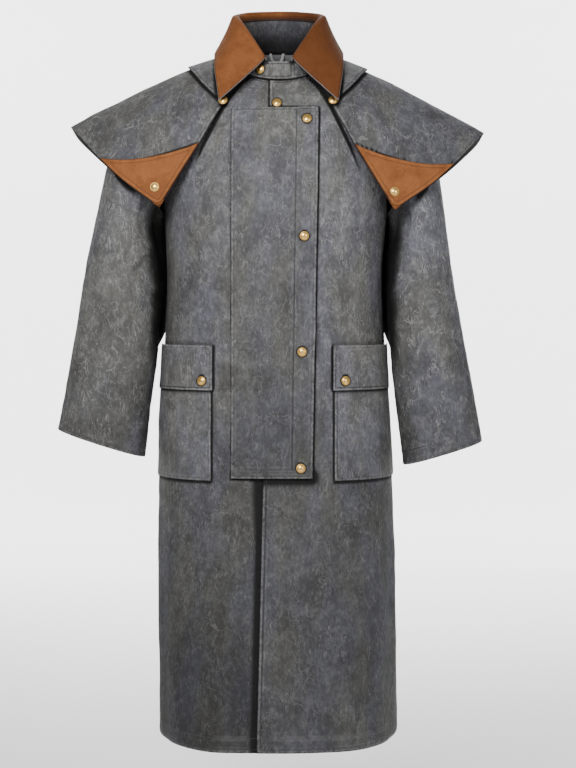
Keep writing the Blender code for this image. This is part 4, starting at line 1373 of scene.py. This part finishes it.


# which pieces lie on a piece and how wide the painted shadow beside their edges is, then how dark the painted
# shade on the piece's own rim is, and how much painted shade darkens it (below 0 lightens it), all over or at
# each depth below
LAID_ON = {
    "back": ((("cape", 0.006), ("collar_stand", 0.003)), 0.7, (0.12, 0.06, 0.10)),
    "front_left": ((("storm_flap", 0.0062), *front_covers("left")), 0.9, (-0.06, 0.0, 0.0)),
    "front_right": (
        (("front_left", 0.0160), ("storm_flap", 0.0019), *front_covers("right")),
        0.9,
        (0.14, -0.01, 0.19),
    ),
    "storm_flap": ((("cape", 0.0060),), 0.25, (0.16, 0.12, 0.12)),
    "sleeve_left": ((("cape", 0.010), ("cape_patch_left", 0.012)), 0.8, 0.02),
    "sleeve_right": ((("cape", 0.010), ("cape_patch_right", 0.012)), 0.8, 0.07),
    "pocket_left": ((("pocket_flap_left", 0.0065),), 0.6, -0.18),
    "pocket_right": ((("pocket_flap_right", 0.0065),), 0.6, -0.14),
    "pocket_flap_left": ((), 0.6, -0.14),
    "pocket_flap_right": ((), 0.6, -0.08),
    "cape": (
        (("cape_yoke", 0.0045), ("cape_patch_left", 0.003), ("cape_patch_right", 0.003), ("collar_fall", 0.005)),
        1.0,
        0.33,
    ),
    "cape_yoke": ((("collar_fall", 0.008),), 0.8, 0.26),
    "cape_patch_left": ((), 0.5, 0.0),
    "cape_patch_right": ((), 0.5, 0.0),
    "collar_stand": ((("collar_fall", 0.009),), 0.10, -0.05),
    "collar_fall": ((), 0.5, 0.0),
}
PAINTED_SHADING_DEPTHS = (0.25, 0.80, 1.10)  # below the origin: the chest, the pockets and the hem
STAND_OFF = 0.026  # a piece that lies above the cloth is looked for this much further away
CAP_SHADE = (0.0080, 0.0026)  # a snap's shade is full up to this radius, and runs out over this width
THROAT_Y = -0.02  # the stand is shaded only by the part of the fall in front of this


def line_width(cover, z):
    """How wide the painted shadow beside this cover is, as a part of the table's width, at depths z."""
    if cover == "front_left":
        # thin at the throat, and widest just below the storm flap
        below_flap = smooth(z, 0.70, 0.71) * (1 - smooth(z, 0.71, 0.85))
        return 0.25 + 0.75 * smooth(z, 0.10, 0.40) + 0.6 * below_flap
    if cover == "storm_flap":
        return 1 + 1.8 * smooth(z, 0.700, 0.715)
    return np.ones(len(z))


class EdgeShade(bpy.types.Operator):
    """Note on each piece how near it is to the edge of a piece that lies on it, for the painted shade there"""

    bl_idname = "coat.edge_shade"
    bl_label = "Shade beside edges"

    def execute(self, context):
        for node, (covers, rim_shade, painted_shadings) in LAID_ON.items():
            shell = SHELLS[node]
            count, depth = len(shell.points), -shell.points[:, 2]
            nearness = np.ones(count)
            for cover, reach in covers:
                nearness = np.minimum(nearness, self.beside(shell, node, cover, reach))
            if node.startswith("sleeve"):
                # the side that hangs against the coat is in shade
                side = 1 if node.endswith("left") else -1
                inner = smooth(-shell.normals[:, 0] * side, 0.70, 1.0)
                deep = inner * smooth(depth, 0.22, 0.31) * (1 - smooth(depth, 0.46, 0.60))
                nearness = np.minimum(nearness, 1 - 0.50 * deep)
            for snap, carrier in SNAP_CARRIERS.items():
                if carrier == node:
                    cap = np.array([v.co[:] for v in bpy.data.objects[f"{snap}_brass"].data.vertices])
                    far = np.linalg.norm(shell.points - cap.mean(axis=0), axis=1)
                    nearness = np.minimum(nearness, np.maximum(0, far - CAP_SHADE[0]) / CAP_SHADE[1])
            shell.write("cover", nearness)
            # painted shade: the strength of the black line along the piece's cut edge, then its darkening by
            # depth
            shell.write("rim_shade", np.full(count, rim_shade))
            shell.write("painted_shading", np.interp(depth, PAINTED_SHADING_DEPTHS, np.broadcast_to(painted_shadings, 3)))
            # the cape and the sleeves show their wear most
            shell.write("wear", np.full(count, float(node.startswith(("cape", "sleeve")))))
        return {"FINISHED"}

    def beside(self, shell, node, cover, reach):
        """How far each point is from the cover's edge along the cloth, where 1 is the line's width."""
        above = SHELLS[cover]
        part = line_width(cover, -shell.points[:, 2])
        samples = np.array(above.rim_samples(above.rims["outer"] + above.rims["inner"]))
        if node == "collar_stand":
            samples = samples[samples[:, 1] < THROAT_Y]
        tree = search_tree(samples)
        nearness = np.ones(len(shell.points))
        for i, (p, n) in enumerate(zip(shell.points, shell.normals)):
            there, _, far = tree.find(Vector(p))
            if far < reach + STAND_OFF:
                up = float((np.array(there[:]) - p) @ n)
                aside = math.sqrt(max(0.0, far * far - up * up))
                nearness[i] = min(1.0, aside / (reach * part[i]))
        return nearness


class Stitching(bpy.types.Operator):
    """Make the stitched rows on every piece"""

    bl_idname = "coat.stitching"
    bl_label = "Stitching"

    def execute(self, context):
        for node, shell in SHELLS.items():
            trim = node.startswith(("cape_patch", "collar_fall"))
            thread, slot = ("trim_thread", "leather") if trim else ("canvas_thread", "canvas")
            rows = stitches(f"{node}_stitches", node, thread)
        return {"FINISHED"}


FLOOR_SIZE = (70, 15, 1)  # wide enough for a view from any side
WALL_Y, WALL_HEIGHT, WALL_BEND = 7.0, 9, 1.6
SENSOR = 36.0
# the photo's camera, as it was worked out: focal length and picture height in pixels, place and tilt
FOCAL_PIXELS, PICTURE_HEIGHT = 1888.9, 768
CAMERA_PLACE, CAMERA_DOWN = (0.019, -3.4, -0.414), 2.545


class Stage(bpy.types.Operator):
    """Make the floor, the lights and the camera"""

    bl_idname = "coat.stage"
    bl_label = "Stage"

    def execute(self, context):
        settings = look("stage")
        self.backdrop(settings)
        self.lights(settings)
        self.camera()
        return {"FINISHED"}

    def backdrop(self, settings):
        """A floor that bends up into a wall behind the coat."""
        deselect()
        bpy.ops.mesh.primitive_plane_add(size=1, location=(0, 0, 0))
        floor = bpy.context.object
        floor.name = "studio_floor"
        bpy.ops.transform.resize(value=FLOOR_SIZE)
        bpy.ops.transform.translate(value=(0, WALL_Y - FLOOR_SIZE[1] / 2, settings.floor_z))
        bpy.ops.object.transform_apply(location=True, rotation=True, scale=True)
        bpy.ops.object.mode_set(mode="EDIT")
        bpy.ops.mesh.select_mode(type="EDGE")
        bpy.ops.mesh.select_all(action="DESELECT")
        self.select_low_rear(floor, settings)
        bpy.ops.mesh.extrude_region_move(TRANSFORM_OT_translate={"value": (0, 0, WALL_HEIGHT)})
        bpy.ops.mesh.select_all(action="DESELECT")
        self.select_low_rear(floor, settings)
        bpy.ops.mesh.bevel(offset=WALL_BEND, offset_type="OFFSET", segments=12, affect="EDGES")
        bpy.ops.object.mode_set(mode="OBJECT")
        recipe = Recipe("studio_floor")
        speck = recipe.noise(0.3, 2.0, 0.5)
        base = recipe.mix(speck, scaled(settings.floor, 0.985), settings.floor[:])
        floor.data.materials.append(recipe.finish(base, 0.9, None, specular_ior_level=0.1))
        bpy.ops.object.shade_smooth_by_angle(angle=math.radians(40))

    def select_low_rear(self, floor, settings):
        """Selects the floor's rear edge, where the wall stands."""
        mesh = bmesh.from_edit_mesh(floor.data)
        for e in mesh.edges:
            e.select_set(all(v.co.y > WALL_Y / 2 and v.co.z < settings.floor_z + 0.1 for v in e.verts))
        bmesh.update_edit_mesh(floor.data)

    def lights(self, settings):
        world = bpy.data.worlds.new("studio")
        bpy.context.scene.world = world
        world.use_nodes = True
        background = world.node_tree.nodes["Background"].inputs
        background["Color"].default_value = (1, 1, 1, 1)
        background["Strength"].default_value = settings.sky
        # name, place, what it looks at, width and power
        for name, place, target, size, power in (
            ("key", (-0.55, -2.1, 0.66), (0, 0, -0.30), 0.9, settings.key),
            ("fill", (1.7, -2.1, 0.1), (0, 0, -0.5), 1.0, settings.fill),
            ("rear", (0.9, 3.0, 0.5), (0, 0, -0.5), 1.2, settings.rear),
            ("floor", (0, 4.4, 3.4), (0, 3.2, -1.46), 2.5, 0.6 * settings.wall),
            ("wall_left", (-2.9, 3.9, 1.6), (-0.6, 7.0, 0.0), 2.0, settings.wall),
            ("wall_right", (2.9, 3.9, 1.6), (0.6, 7.0, 0.0), 2.0, settings.wall),
        ):
            lamp = bpy.data.lights.new(name, "AREA")
            lamp.shape, lamp.size, lamp.energy = "DISK", size, power
            holder = in_scene(name, lamp)
            holder.location = place
            holder.rotation_euler = (Vector(target) - Vector(place)).to_track_quat("-Z", "Y").to_euler()

    def camera(self):
        data = bpy.data.cameras.new("camera")
        data.sensor_fit, data.sensor_width = "AUTO", SENSOR
        data.lens = FOCAL_PIXELS / PICTURE_HEIGHT * SENSOR
        data.clip_end = 50
        holder = in_scene("camera", data)
        holder.location = CAMERA_PLACE
        holder.rotation_euler = (math.radians(90 - CAMERA_DOWN), 0, 0)
        bpy.context.scene.camera = holder


STEPS = (
    *(BodyCloth, StormFlap, Sleeves, Pockets, Cape, CapeCorners, Collar, HangLoop),
    *(Snaps, EdgeShade, Stitching, Stage),
)
LOOKS = {"canvas": CanvasLook, "leather": LeatherLook, "trim": TrimLook, "stage": StageLook}


class CoatPanel(bpy.types.Panel):
    """The coat's steps and what can be changed"""

    bl_idname = "VIEW3D_PT_coat"
    bl_label = "Duster coat"
    bl_space_type = "VIEW_3D"
    bl_region_type = "UI"
    bl_category = "Coat"

    def draw(self, context):
        for kind, group in LOOKS.items():
            box = self.layout.box()
            for name in group.__annotations__:
                box.prop(look(kind), name)
        for step in STEPS:
            self.layout.operator(step.bl_idname)


def register():
    for group in (*LOOKS.values(), *STEPS, CoatPanel):
        bpy.utils.register_class(group)
    for kind, group in LOOKS.items():
        setattr(bpy.types.Scene, f"coat_{kind}", bpy.props.PointerProperty(type=group))


def unregister():
    for kind in LOOKS:
        delattr(bpy.types.Scene, f"coat_{kind}")
    for group in reversed((*LOOKS.values(), *STEPS, CoatPanel)):
        bpy.utils.unregister_class(group)


def main():
    register()
    for step in STEPS:
        group, name = step.bl_idname.split(".")
        getattr(getattr(bpy.ops, group), name)()


if __name__ == "__main__":
    main()
